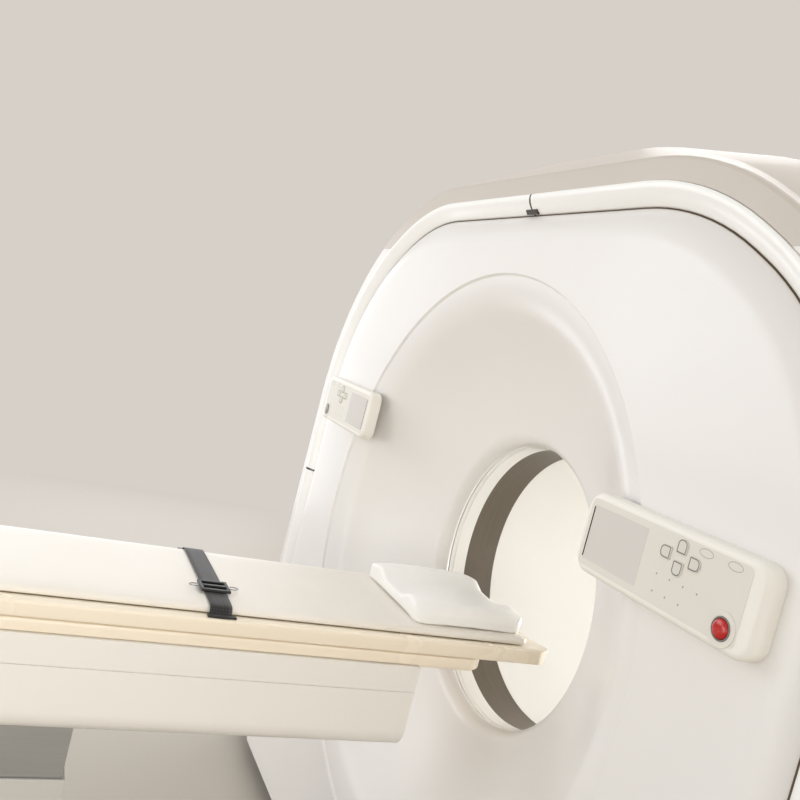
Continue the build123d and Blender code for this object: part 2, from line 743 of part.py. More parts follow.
def rotor_drum():
    """Turning drum: a disc with a belt rim, and a hub that runs in the bearing."""
    return turned([
        (DRUM_INNER, DRUM_FACE),
        (DRUM_INNER, STATOR_FACE - SLIDE_GAP),
        (RACE_SPLIT, STATOR_FACE - SLIDE_GAP),
        (RACE_SPLIT, DRUM_BACK),
        (DRUM_RADIUS, DRUM_BACK),
        (DRUM_RADIUS, DRUM_FACE),
    ])


def slip_ring():
    """Conductor ring on the back of the drum."""
    return ring(SLIP_INNER, SLIP_INNER + SLIP_WIDTH, DRUM_BACK, DRUM_BACK + SLIP_THICKNESS)


def brush_block():
    """Brush holder on the stator plate, facing the slip ring."""
    x, z = polar(SLIP_INNER + SLIP_WIDTH / 2, BRUSH_ANGLE)
    front = DRUM_BACK + SLIP_THICKNESS + SLIDE_GAP
    half = SLIP_WIDTH / 2 - BRUSH_INSET
    centre = ISO_HEIGHT + z
    return block((x - half, x + half), (front, STATOR_FACE), (centre - half, centre + half))


def x_ray_tube():
    """Tube housing along the scan axis."""
    return rod_y(TUBE_RADIUS, TUBE_FRONT, DRUM_FACE, 0, ISO_HEIGHT + FOCUS_RADIUS + TUBE_LIFT)


def beam_collimator():
    """Collimator box under the tube, narrowing towards the bore."""
    top = ISO_HEIGHT + FOCUS_RADIUS + TUBE_LIFT - TUBE_RADIUS - SLIDE_GAP
    bottom = ISO_HEIGHT + COLLIMATOR_BASE
    points = [
        (-COLLIMATOR_BOTTOM_HALF, COLLIMATOR_FRONT, bottom),
        (COLLIMATOR_BOTTOM_HALF, COLLIMATOR_FRONT, bottom),
        (COLLIMATOR_TOP_HALF, COLLIMATOR_FRONT, top),
        (-COLLIMATOR_TOP_HALF, COLLIMATOR_FRONT, top),
    ]
    profile = Face(Wire(Polyline(*points, close=True).edges()))
    return extrude(profile, amount=DRUM_FACE - COLLIMATOR_FRONT, dir=(0, 1, 0))


def unit_box(x, depth, inset=0.0):
    """Box that a unit on the drum fills, with an inset on its edges."""
    low, high = ISO_HEIGHT - UNIT_HALF_HEIGHT + inset, ISO_HEIGHT + UNIT_HALF_HEIGHT - inset
    return block((x[0] + inset, x[1] - inset), depth, (low, high))


def high_voltage_generator():
    """Generator tank beside the tube on the drum, with its lid."""
    span = (-UNIT_INNER - UNIT_DEPTH, -UNIT_INNER)
    lid = unit_box(span, (UNIT_FRONT - LID_THICKNESS, UNIT_FRONT), UNIT_BORDER)
    return unit_box(span, (UNIT_FRONT, DRUM_FACE)) + lid


def tube_cooling_unit():
    """Finned heat exchanger opposite the generator."""
    outer = UNIT_INNER + UNIT_DEPTH
    body = unit_box((UNIT_INNER, outer), (UNIT_FRONT, DRUM_FACE))
    slot_x = (UNIT_INNER + UNIT_BORDER, outer - UNIT_BORDER)
    for step in range(FIN_COUNT):
        z = ISO_HEIGHT + FIN_PITCH * (step - (FIN_COUNT - 1) / 2)
        slot_z = (z - FIN_SLOT / 2, z + FIN_SLOT / 2)
        body -= block(slot_x, (UNIT_FRONT - 1, UNIT_FRONT + FIN_DEPTH), slot_z)
    return body


def ct_detector():
    """Detector arc centred on the tube's focus."""
    focus = (0.0, ISO_HEIGHT + FOCUS_RADIUS)
    arcs = []
    for radius in (DETECTOR_DISTANCE, DETECTOR_DISTANCE + DETECTOR_THICKNESS):
        turns = (-90 - DETECTOR_HALF_FAN, -90, -90 + DETECTOR_HALF_FAN)
        points = [polar(radius, turn, focus) for turn in turns]
        arcs.append([Vector(x, DETECTOR_FRONT, z) for x, z in points])
    inner, outer = arcs
    outline = Wire([
        ThreePointArc(*inner),
        Line(inner[2], outer[2]),
        ThreePointArc(*outer),
        Line(outer[0], inner[0]),
    ])
    return extrude(Face(outline), amount=DRUM_FACE - DETECTOR_FRONT, dir=(0, 1, 0))


def drive_motor():
    """Square-flanged motor let into the stator plate, bored for the pulley's shaft."""
    x, z = drive_centre()
    flange = STATOR_FACE - MOTOR_FLANGE_THICKNESS
    motor = rod_y(MOTOR_RADIUS, STATOR_FACE, STATOR_FACE + MOTOR_LENGTH, x, z)
    motor += block(
        (x - MOTOR_FLANGE, x + MOTOR_FLANGE), (flange, STATOR_FACE), (z - MOTOR_FLANGE, z + MOTOR_FLANGE)
    )
    return motor - rod_y(SHAFT_RADIUS + RUNNING_GAP, flange - 1, STATOR_FACE + MOTOR_SOCKET, x, z)


def drive_pulley():
    """Belt pulley with its shaft."""
    x, z = drive_centre()
    half = PULLEY_WIDTH / 2
    pulley = rod_y(PULLEY_RADIUS, BELT_CENTRE - half, BELT_CENTRE + half, x, z)
    end = STATOR_FACE + MOTOR_SOCKET - SHAFT_END_GAP
    return pulley + rod_y(SHAFT_RADIUS, BELT_CENTRE, end, x, z)


def belt_outline(extra):
    """Hull of drum and pulley, grown by the belt's clearance and thickness."""
    centre = polar(DRUM_RADIUS + DRIVE_SPAN + PULLEY_RADIUS, DRIVE_ANGLE)
    drum = Circle(DRUM_RADIUS + extra)
    pulley = Pos(*centre) * Circle(PULLEY_RADIUS + extra)
    return make_hull([*drum.edges(), *pulley.edges()])


def drive_belt():
    """Flat belt round the drum and the pulley."""
    band = belt_outline(SLIDE_GAP + BELT_THICKNESS) - belt_outline(SLIDE_GAP)
    plane = Plane(
        origin=(0, BELT_CENTRE + BELT_WIDTH / 2, ISO_HEIGHT), x_dir=(1, 0, 0), z_dir=(0, -1, 0)
    )
    return extrude(plane * band, amount=BELT_WIDTH)


def pet_floor_rails():
    """Two floor rails that the PET gantry runs on."""
    start, end = BED_BACK, PET_BACK_Y + PET_TRAVEL - RAIL_OVERRUN
    rails = []
    for side in (-1, 1):
        x = side * RAIL_X
        foot = (x - RAIL_FOOT_WIDTH / 2, x + RAIL_FOOT_WIDTH / 2)
        rail = block(foot, (start, end), (0, RAIL_FOOT))
        head = (x - RAIL_WIDTH / 2, x + RAIL_WIDTH / 2)
        rails.append(rail + block(head, (PET_FRONT_Y, end), (RAIL_FOOT, RAIL_TOP)))
    return rails


def pet_carriage():
    """Carriage frame with guide cheeks on both sides of each rail."""
    span = (PET_FRONT_Y + CARRIAGE_END_GAP, PET_BACK_Y - CARRIAGE_END_GAP)
    bottom = RAIL_TOP + SLIDE_GAP
    half = CARRIAGE_BEAM / 2
    cross = (CARRIAGE_TOP - CARRIAGE_CROSS_HEIGHT, CARRIAGE_TOP)
    frame = block((-RAIL_X, RAIL_X), (span[0], span[0] + CARRIAGE_BEAM), cross)
    frame += block((-RAIL_X, RAIL_X), (span[1] - CARRIAGE_BEAM, span[1]), cross)
    reach = PET_ARCH.half_width - WALL - SLIDE_GAP
    frame += block((-reach, reach), (PET_CENTRE_Y - half, PET_CENTRE_Y + half), cross)
    for side in (-1, 1):
        x = side * RAIL_X
        frame += block((x - half, x + half), span, (bottom, CARRIAGE_TOP))
        for edge in (-1, 1):
            near = x + edge * (RAIL_WIDTH / 2 + SLIDE_GAP)
            cheek = sorted((near, near + edge * GUIDE_CHEEK))
            frame += block(cheek, span, (RAIL_FOOT + GUIDE_LIFT, bottom))
    return frame


def pet_detector_frame():
    """Detector ring housing: a square block with cut corners on a foot."""
    inner = math.hypot(MODULE_RADIUS + MODULE_DEPTH, module_width() / 2) + STAGE_GAP
    half = inner + PET_RING_WALL
    span = (PET_CENTRE_Y - PET_RING_LENGTH / 2, PET_CENTRE_Y + PET_RING_LENGTH / 2)
    frame = block((-half, half), span, (ISO_HEIGHT - half, ISO_HEIGHT + half))
    frame = chamfer(frame.edges().filter_by(Axis.Y), half * (2 - math.sqrt(2)))
    foot = (-PET_FOOT_HALF, PET_FOOT_HALF)
    frame += block(foot, span, (CARRIAGE_TOP, ISO_HEIGHT - inner * math.sqrt(0.5) - PET_RING_WALL / 2))
    return frame - rod_y(inner, span[0] - 1, span[1] + 1, 0, ISO_HEIGHT)


def module_width():
    """Width of one crystal module, side by side round the ring."""
    return 2 * MODULE_RADIUS * math.tan(math.pi / MODULE_COUNT) - SEAM


def pet_crystal_modules():
    """Flat crystal modules round the bore."""
    modules = []
    for step in range(MODULE_COUNT):
        module = Pos(MODULE_RADIUS + MODULE_DEPTH / 2, 0, 0) * Box(
            MODULE_DEPTH, MODULE_LENGTH, module_width()
        )
        modules.append(Pos(0, PET_CENTRE_Y, ISO_HEIGHT) * Rot(0, step * 360 / MODULE_COUNT, 0) * module)
    return modules


def pet_front_cover():
    """Front cover of the PET gantry."""
    return end_panel(PET_ARCH, PET_FRONT_Y, PET_SKIRT_BOTTOM, BORE_RADIUS)


def pet_rear_cover():
    """Rear cover of the PET gantry, in one piece with its bore tube and flared mouth."""
    outer = BORE_RADIUS + WALL
    throat = PET_BACK_Y - END_FLARE
    tube = turned([
        (BORE_RADIUS, PET_FRONT_Y + WALL + SEAM),
        (BORE_RADIUS, throat),
        (END_FLARE_RADIUS, PET_BACK_Y),
        (END_FLARE_RADIUS + WALL, PET_BACK_Y - WALL),
        (outer, throat),
        (outer, PET_FRONT_Y + WALL + SEAM),
    ])
    return end_panel(PET_ARCH, PET_BACK_Y - WALL, PET_SKIRT_BOTTOM, END_FLARE_RADIUS) + tube


def pet_body_cover():
    """Wrap-round cover of the PET gantry's top and sides."""
    outer = arch_block(PET_ARCH, PET_FRONT_Y, PET_BACK_Y, 0.0, PET_SKIRT_BOTTOM)
    inside = arch_block(PET_ARCH, PET_FRONT_Y - 1, PET_BACK_Y + 1, -WALL, PET_SKIRT_BOTTOM - 1)
    return outer - inside


def along_table(profile, head_y, length, corner=0.0):
    """Bar with a closed (x, z) profile, from its head end towards the foot."""
    points = [Vector(x, head_y, z) for x, z in profile]
    face = Face(Wire(Polyline(*points, close=True).edges()))
    bar = extrude(face, amount=length, dir=(0, -1, 0))
    if corner:
        plan = Pos(0, head_y - length / 2) * RectangleRounded(2 * PALLET_HALF_WIDTH, length, corner)
        bar = bar & extrude(plan, amount=2 * ISO_HEIGHT)
    return bar


def both_sides(right):
    """Closed profile from its right half, listed from the bottom to the top."""
    return right + [(-x, z) for x, z in reversed(right)]


def pallet_dish_z(x):
    """Height of the tabletop's hollow at a distance from the centre line."""
    half = PALLET_HALF_WIDTH - PALLET_LIP
    return PALLET_TOP - PALLET_DISH * (1 - (x / half) ** 2)


def hollow_line(reach, lift):
    """Right half of the hollow's line out to a reach, lifted clear of it."""
    half = PALLET_HALF_WIDTH - PALLET_LIP
    inner = [half * k / HOLLOW_STEPS for k in range(1, HOLLOW_STEPS)]
    return [(x, pallet_dish_z(x) + lift) for x in [*(x for x in inner if x < reach), reach]]


MATTRESS_SIDE_TOP = pallet_dish_z(MATTRESS_HALF_WIDTH) + EDGE_BEVEL


def tabletop():
    """Patient tabletop: a shallow trough with a flat lip, keel and round corners."""
    keel = PALLET_BOTTOM - PALLET_KEEL
    hollow = hollow_line(PALLET_HALF_WIDTH - PALLET_LIP, 0.0)
    right = [
        (PALLET_KEEL_HALF, keel),
        (PALLET_KEEL_HALF, PALLET_BOTTOM),
        (PALLET_HALF_WIDTH - EDGE_BEVEL, PALLET_BOTTOM),
        (PALLET_HALF_WIDTH, PALLET_BOTTOM + EDGE_BEVEL),
        (PALLET_HALF_WIDTH, PALLET_TOP - EDGE_BEVEL),
        (PALLET_HALF_WIDTH - EDGE_BEVEL, PALLET_TOP),
        *reversed(hollow),
    ]
    return along_table(both_sides(right), PALLET_HEAD_Y, PALLET_LENGTH, PALLET_CORNER)


def table_carriage():
    """Carriage under the tabletop, moving half as far."""
    top = PALLET_BOTTOM - SLIDE_GAP
    trough = PALLET_BOTTOM - PALLET_KEEL - SLIDE_GAP
    keel = CARRIAGE_BOTTOM - CARRIAGE_KEEL
    right = [
        (CARRIAGE_KEEL_HALF, keel),
        (CARRIAGE_KEEL_HALF, CARRIAGE_BOTTOM),
        (PALLET_HALF_WIDTH - EDGE_BEVEL, CARRIAGE_BOTTOM),
        (PALLET_HALF_WIDTH, CARRIAGE_BOTTOM + EDGE_BEVEL),
        (PALLET_HALF_WIDTH, top - EDGE_BEVEL),
        (PALLET_HALF_WIDTH - EDGE_BEVEL, top),
        (PALLET_KEEL_HALF + SLIDE_GAP, top),
        (PALLET_KEEL_HALF + SLIDE_GAP, trough),
    ]
    return along_table(both_sides(right), PALLET_HEAD_Y - PALLET_LEAD, PALLET_LENGTH, PALLET_CORNER)


def column_box(grow, z_from, z_to):
    """Column stage outline, grown about the lift centre."""
    half_x, half_y = COLUMN_WIDTH / 2 + grow, COLUMN_LENGTH / 2 + grow
    return block((-half_x, half_x), (COLUMN_Y - half_y, COLUMN_Y + half_y), (z_from, z_to))


def stage_shell(number, z_from, z_to):
    """Open-ended column stage, counted outwards from the inner one."""
    inside = number * (COLUMN_WALL + STAGE_GAP) - COLUMN_WALL
    tube = column_box(inside + COLUMN_WALL, z_from, z_to)
    return tube - column_box(inside, z_from - 1, z_to + 1)


def table_deck():
    """Deck beam with the carriage channel, on the inner column stage."""
    floor = CARRIAGE_BOTTOM - CARRIAGE_KEEL - SLIDE_GAP
    bottom = CASING_TOP - DECK_HEIGHT
    right = [
        (DECK_HALF_WIDTH, bottom),
        (DECK_HALF_WIDTH, CASING_TOP),
        (CARRIAGE_KEEL_HALF + SLIDE_GAP, CASING_TOP),
        (CARRIAGE_KEEL_HALF + SLIDE_GAP, floor),
    ]
    beam = along_table(both_sides(right), DECK_FRONT, PALLET_LENGTH)
    half = DECK_HALF_WIDTH - DECK_WALL
    beam -= block((-half, half), (-BEYOND, 0), (bottom + DECK_WALL, floor - DECK_WALL))
    column = column_box(0.0, INNER_BOTTOM, bottom) - column_box(-COLUMN_WALL, INNER_BOTTOM - 1, bottom)
    return beam + column


def table_casing():
    """Casing round the deck beam, with a groove line and rounded lower edges."""
    bottom = CASING_TOP - CASING_HEIGHT
    outer = along_table(
        both_sides([(CASING_HALF_WIDTH, bottom), (CASING_HALF_WIDTH, CASING_TOP)]),
        DECK_FRONT + WALL + SLIDE_GAP, PALLET_LENGTH + 2 * (WALL + SLIDE_GAP),
    )
    low = [e for e in outer.edges().filter_by(Axis.Y) if e.center().Z < bottom + 1]
    outer = fillet(low, CASING_CORNER)
    inside = block(
        (-DECK_HALF_WIDTH - SLIDE_GAP, DECK_HALF_WIDTH + SLIDE_GAP),
        (DECK_FRONT - PALLET_LENGTH - SLIDE_GAP, DECK_FRONT + SLIDE_GAP),
        (bottom + WALL, CASING_TOP + 1),
    )
    keel_floor = CARRIAGE_BOTTOM - CARRIAGE_KEEL - SLIDE_GAP
    keel_half = CARRIAGE_KEEL_HALF + SLIDE_GAP
    notch = block((-keel_half, keel_half), (-BEYOND, 0), (keel_floor, CASING_TOP + 1))
    casing = outer - inside - notch - column_box(SLIDE_GAP, bottom - 1, CASING_TOP)
    low_z = CASING_TOP - CASING_GROOVE_DROP
    for side in (-1, 1):
        span = sorted((side * (CASING_HALF_WIDTH - CASING_GROOVE), side * (CASING_HALF_WIDTH + 1)))
        casing -= block(span, (-BEYOND, 0), (low_z - CASING_GROOVE, low_z))
    return casing


def table_base():
    """Base plate with anchor holes, and the floor link to the gantry bed."""
    half = TABLE_BASE_LENGTH / 2
    plate = block(
        (-TABLE_BASE_HALF_WIDTH, TABLE_BASE_HALF_WIDTH), (COLUMN_Y - half, COLUMN_Y + half),
        (0, TABLE_BASE_PLATE),
    )
    plate += block((-LINK_HALF_WIDTH, LINK_HALF_WIDTH), (COLUMN_Y, BED_FRONT), (0, TABLE_BASE_PLATE))
    for x in (-1, 1):
        for y in (-1, 1):
            hole = Cylinder(ANCHOR_RADIUS, 3 * TABLE_BASE_PLATE)
            centre_y = COLUMN_Y + y * (half - ANCHOR_INSET)
            plate -= Pos(x * (TABLE_BASE_HALF_WIDTH - ANCHOR_INSET), centre_y, 0) * hole
    return plate


def lift_outer_shroud():
    """Fixed outer stage of the lift column."""
    return stage_shell(2, TABLE_BASE_PLATE, OUTER_TOP)


def lift_middle_shroud():
    """Middle stage of the lift column."""
    return stage_shell(1, MIDDLE_BOTTOM, MIDDLE_TOP)


def mattress():
    """Thin mattress that follows the tabletop's hollow."""
    half = MATTRESS_HALF_WIDTH
    right = [
        *hollow_line(half, SLIDE_GAP),
        (half, MATTRESS_SIDE_TOP),
        (half - EDGE_BEVEL, PALLET_TOP + MATTRESS_TOP),
    ]
    return along_table(both_sides(right), PALLET_HEAD_Y - MATTRESS_END, PALLET_LENGTH - 2 * MATTRESS_END)


def head_cushion():
    """Head cushion on the mattress, hollowed along the middle."""
    base = PALLET_TOP + MATTRESS_TOP + SLIDE_GAP
    top = base + CUSHION_HEIGHT
    crest = CUSHION_HALF_WIDTH - CUSHION_BEVEL
    right = [
        (CUSHION_HALF_WIDTH, base),
        (CUSHION_HALF_WIDTH, base + CUSHION_SIDE_HEIGHT),
        (crest, top),
        (crest - CUSHION_RIM, top),
        (crest - CUSHION_RIM - CUSHION_SLOPE, top - CUSHION_HOLLOW),
    ]
    return along_table(both_sides(right), PALLET_HEAD_Y - MATTRESS_END, CUSHION_LENGTH)


def strap_path(lift):
    """Right half of the strap's line over the mattress, from lip to middle."""
    lip = PALLET_TOP + SLIDE_GAP + lift
    side = MATTRESS_HALF_WIDTH + STRAP_CLEARANCE + lift
    return [
        (PALLET_HALF_WIDTH - EDGE_BEVEL, lip),
        (side, lip),
        (side, MATTRESS_SIDE_TOP + STRAP_CLEARANCE / 2 + lift / 2),
        (side - EDGE_BEVEL, PALLET_TOP + MATTRESS_TOP + SLIDE_GAP + lift),
    ]


def restraint_strap():
    """Webbing strap across the mattress, down to the lip on both sides."""
    outer = strap_path(STRAP_THICKNESS)
    inner = strap_path(0.0)
    profile = [*outer, *[(-x, z) for x, z in reversed(outer)], *[(-x, z) for x, z in inner], *reversed(inner)]
    return along_table(profile, STRAP_Y + STRAP_WIDTH / 2, STRAP_WIDTH)


def strap_hardware():
    """Buckle on the strap and the two clips that hold it to the lip."""
    base = PALLET_TOP + MATTRESS_TOP + SLIDE_GAP + STRAP_THICKNESS
    along = (STRAP_Y - BUCKLE_WIDTH / 2, STRAP_Y + BUCKLE_WIDTH / 2)
    pieces = [block((BUCKLE_X, BUCKLE_X + BUCKLE_LENGTH), along, (base, base + BUCKLE_HEIGHT))]
    outer = PALLET_HALF_WIDTH - EDGE_BEVEL
    low = PALLET_TOP + SLIDE_GAP + STRAP_THICKNESS
    for side in (-1, 1):
        span = sorted((side * outer, side * (outer - CLIP_LENGTH)))
        pieces.append(block(span, along, (low, low + CLIP_THICKNESS)))
    return pieces


NODES = {
    "base_frame": base_frame,
    "stator_frame": stator_frame,
    "main_bearing": main_bearing,
    "brush_block": brush_block,
    "drive_motor": drive_motor,
    "drive_belt": drive_belt,
    "front_cover": front_cover,
    "front_rim": front_rim,
    "laser_windows": laser_windows,
    "top_cover": top_cover,
    "side_cover_left": lambda: side_cover(-1),
    "side_cover_right": lambda: side_cover(1),
    "ct_rear_cover": ct_rear_cover,
    "bore_entry_ring": bore_entry_ring,
    "scan_window": scan_window,
    "panel_housings": lambda: [panel_housing(-1), panel_housing(1)],
    "keypads": lambda: [keypad(-1), keypad(1)],
    "panel_displays": lambda: [panel_display(-1), panel_display(1)],
    "stop_button_left": lambda: stop_button(-1),
    "stop_button_right": lambda: stop_button(1),
    "rotor_drum": rotor_drum,
    "slip_ring": slip_ring,
    "x_ray_tube": x_ray_tube,
    "beam_collimator": beam_collimator,
    "high_voltage_generator": high_voltage_generator,
    "tube_cooling_unit": tube_cooling_unit,
    "ct_detector": ct_detector,
    "drive_pulley": drive_pulley,
    "pet_floor_rails": pet_floor_rails,
    "pet_carriage": pet_carriage,
    "pet_detector_frame": pet_detector_frame,
    "pet_crystal_modules": pet_crystal_modules,
    "pet_front_cover": pet_front_cover,
    "pet_body_cover": pet_body_cover,
    "pet_rear_cover": pet_rear_cover,
    "table_base": table_base,
    "lift_outer_shroud": lift_outer_shroud,
    "lift_middle_shroud": lift_middle_shroud,
    "table_deck": table_deck,
    "table_casing": table_casing,
    "table_carriage": table_carriage,
    "tabletop": tabletop,
    "mattress": mattress,
    "head_cushion": head_cushion,
    "restraint_strap": restraint_strap,
    "strap_hardware": strap_hardware,
}
for panel_side, panel_name in ((-1, "left"), (1, "right")):
    for key_name, key_place in ARROW_KEYS.items():
        NODES[f"key_{key_name}_{panel_name}"] = (
            lambda side=panel_side, place=key_place: arrow_key(side, *place)
        )

for node, make in NODES.items():
    made = make()
    solids = []
    for piece in made if isinstance(made, list) else [made]:
        solids.extend(piece.solids())
    shape = solids[0] if len(solids) == 1 else Compound(children=solids)
    export_step(shape, f"parts/{node}.step")
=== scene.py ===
import math

import bmesh
import bpy
from mathutils import Matrix, Vector


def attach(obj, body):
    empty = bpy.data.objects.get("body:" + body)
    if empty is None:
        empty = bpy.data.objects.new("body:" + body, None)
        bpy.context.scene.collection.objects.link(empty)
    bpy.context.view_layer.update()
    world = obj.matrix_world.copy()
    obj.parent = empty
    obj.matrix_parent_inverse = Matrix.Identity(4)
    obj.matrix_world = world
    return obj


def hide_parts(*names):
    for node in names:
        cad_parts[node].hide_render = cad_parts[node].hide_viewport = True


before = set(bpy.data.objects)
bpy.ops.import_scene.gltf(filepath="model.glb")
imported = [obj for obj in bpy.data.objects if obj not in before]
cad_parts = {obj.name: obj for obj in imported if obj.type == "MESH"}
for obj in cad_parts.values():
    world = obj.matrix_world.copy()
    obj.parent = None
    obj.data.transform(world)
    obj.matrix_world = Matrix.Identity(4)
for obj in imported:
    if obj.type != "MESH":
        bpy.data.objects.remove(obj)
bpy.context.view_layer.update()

# Camera. The picture is taken from the front right, half a metre above the scan axis,
# and the camera is tipped sideways, so the whole machine leans in the frame.
camera_place = Vector((1.7876, -1.3290, 1.5544))
camera_yaw, camera_pitch, camera_roll = 1.1526, -0.0649, 0.2531
camera_lens, camera_sensor = 38.43, 36.0


def add_object(name, data):
    """Object for a camera, a lamp or a mesh, put in the scene."""
    made = bpy.data.objects.new(name, data)
    bpy.context.collection.objects.link(made)
    return made


ahead = Vector((
    -math.sin(camera_yaw) * math.cos(camera_pitch),
    math.cos(camera_yaw) * math.cos(camera_pitch),
    math.sin(camera_pitch),
))
level_right = Vector((math.cos(camera_yaw), math.sin(camera_yaw), 0.0))
level_up = level_right.cross(ahead)
right = level_right * math.cos(camera_roll) + level_up * math.sin(camera_roll)
up = level_up * math.cos(camera_roll) - level_right * math.sin(camera_roll)
camera_data = bpy.data.cameras.new("camera")
camera_data.lens, camera_data.sensor_width = camera_lens, camera_sensor
camera = add_object("camera", camera_data)
camera.matrix_world = (
    Matrix.Translation(camera_place) @ Matrix((right, up, -ahead)).transposed().to_4x4()
)
bpy.context.scene.camera = camera
bpy.context.scene.view_settings.view_transform = "Standard"


# Studio. A plain pale floor, a pale surround that the gloss and glass see too, and large
# soft lamps, cooler ones to the left and warmer ones to the right.
def hex_colour(code):
    """sRGB hex code as a linear colour with alpha."""
    parts = [int(code[k:k + 2], 16) / 255 for k in (1, 3, 5)]
    return (*[c / 12.92 if c <= 0.04045 else ((c + 0.055) / 1.055) ** 2.4 for c in parts], 1.0)


def add_node(tree, kind, settings=None, inputs=None):
    """One shader node; an input is a value, or the output that is linked to it."""
    made = tree.nodes.new("ShaderNode" + kind)
    for name, value in (settings or {}).items():
        setattr(made, name, value)
    for name, value in (inputs or {}).items():
        if isinstance(value, bpy.types.NodeSocket):
            tree.links.new(value, made.inputs[name])
        else:
            made.inputs[name].default_value = value
    return made


def new_material(name):
    """Material with a bare node tree, that tree, and the Object coordinates in it."""
    made = bpy.data.materials.new(name)
    made.use_nodes = True
    made.node_tree.nodes.clear()
    place = add_node(made.node_tree, "TexCoord").outputs["Object"]
    return made, made.node_tree, place


def mesh_object(name, bm):
    """Object made from a bmesh, which is then freed."""
    mesh = bpy.data.meshes.new(name)
    bm.to_mesh(mesh)
    bm.free()
    return add_object(name, mesh)


world_light, world_strength = "#FDFDFC", 0.67
surround_colour = "#D6D0C9"
floor_colour = "#BAB2A6"
floor_reach = 30.0
fade_near, fade_far = 2.2, 5.0
world = bpy.data.worlds.new("studio")
world.use_nodes = True
bpy.context.scene.world = world
tree = world.node_tree
tree.nodes.clear()
rays = add_node(tree, "LightPath").outputs
seen = rays["Is Camera Ray"]
for ray in ("Is Transmission Ray", "Is Glossy Ray"):
    seen = add_node(tree, "Math", {"operation": "MAXIMUM"}, {0: seen, 1: rays[ray]}).outputs[0]
lit = add_node(tree, "Background", inputs={
    "Color": hex_colour(world_light), "Strength": world_strength,
})
shown = add_node(tree, "Background", inputs={"Color": hex_colour(surround_colour)})
mixed = add_node(tree, "MixShader", inputs={
    0: seen, 1: lit.outputs[0], 2: shown.outputs[0],
})
add_node(tree, "OutputWorld", inputs={"Surface": mixed.outputs[0]})

bm = bmesh.new()
bmesh.ops.create_circle(bm, cap_ends=True, segments=64, radius=floor_reach)
floor = mesh_object("floor", bm)
# near the scanner the floor takes its shadow, and further off it fades into the surround
floor_paint, tree, place = new_material("floor_vinyl_rolled")
reach = add_node(tree, "VectorMath", {"operation": "LENGTH"}, {0: place})
fade = add_node(tree, "MapRange", {"interpolation_type": "SMOOTHSTEP"}, {
    "Value": reach.outputs["Value"], "From Min": fade_near, "From Max": fade_far,
})
vinyl = add_node(tree, "BsdfPrincipled", inputs={
    "Base Color": hex_colour(floor_colour), "Roughness": 0.6, "Specular IOR Level": 0.2,
})
distant = add_node(tree, "Emission", inputs={"Color": hex_colour(surround_colour)})
shown_fade = add_node(tree, "Math", {"operation": "MULTIPLY"}, {
    0: fade.outputs["Result"],
    1: add_node(tree, "LightPath").outputs["Is Camera Ray"],
})
mixed = add_node(tree, "MixShader", inputs={
    0: shown_fade.outputs[0], 1: vinyl.outputs[0], 2: distant.outputs[0],
})
add_node(tree, "OutputMaterial", inputs={"Surface": mixed.outputs[0]})
floor.data.materials.append(floor_paint)

# name: place, aim, width, height, power in watts, colour, spread in degrees
lamps = {
    "far_left_lamp": ((-4.2, -3.6, 3.0), (0.0, -0.2, 1.1), 3.2, 2.8, 16.0, "#F2F6FF", 180),
    "near_left_lamp": ((-3.2, -4.6, 2.4), (0.0, -0.2, 1.2), 3.0, 2.4, 58.0, "#F2F6FF", 180),
    "left_lamp": ((-4.6, -0.5, 1.3), (0.0, -0.3, 1.1), 2.4, 2.4, 42.0, "#F2F6FF", 180),
    "front_lamp": ((0.3, -5.0, 0.9), (0.0, 0.0, 1.2), 3.0, 1.6, 46.0, "#FFFFFF", 180),
    "right_lamp": ((4.6, -1.0, 1.1), (0.0, -0.7, 1.0), 2.4, 1.8, 24.0, "#FFFAF2", 180),
    "top_lamp": ((0.0, 0.6, 4.6), (0.0, 0.2, 1.5), 3.4, 3.0, 62.0, "#F8FBFF", 180),
    "rear_lamp": ((-2.6, 3.2, 4.0), (0.0, 0.2, 1.8), 3.0, 2.4, 45.0, "#F8FBFF", 180),
    "bore_lamp": ((0.0, 1.4, 1.10), (0.0, 0.0, 1.04), 0.35, 0.35, 3.6, "#FBFCFF", 60),
    "table_lamp": ((3.6, -2.6, 1.3), (0.0, -1.5, 0.95), 1.2, 1.0, 3.2, "#FFFCF6", 45),
}
for name, (place, aim, width, height, power, colour, spread) in lamps.items():
    lamp_data = bpy.data.lights.new(name, "AREA")
    lamp_data.shape = "RECTANGLE"
    lamp_data.size, lamp_data.size_y = width, height
    lamp_data.energy = power
    lamp_data.color = hex_colour(colour)[:3]
    lamp_data.spread = math.radians(spread)
    lamp = add_object(name, lamp_data)
    lamp.location = place
    lamp.rotation_euler = (Vector(aim) - Vector(place)).to_track_quat("-Z", "Y").to_euler()
    lamp.visible_camera = False
    # seen in gloss, the top lamp would draw a hard streak along the cap's crown
    lamp.visible_glossy = name != "top_lamp"

# Front cover. One moulded shell of glass-fibre reinforced plastic, about 2.2 m across,
# with a pillowed edge, a shallow dish and a rolled lip round the patient bore. It is
# primed, sanded and sprayed with a satin polyurethane paint, and hangs on hidden hooks.
ISO_HEIGHT = 1.040
FRONT_Y = -0.342
BORE_RADIUS = 0.350
COVER_BOTTOM = 0.060
BELOW_FLOOR = -0.4
CORNER_SPLIT = math.radians(60)
SIDE_STEPS, TOP_STEPS = 20, 10
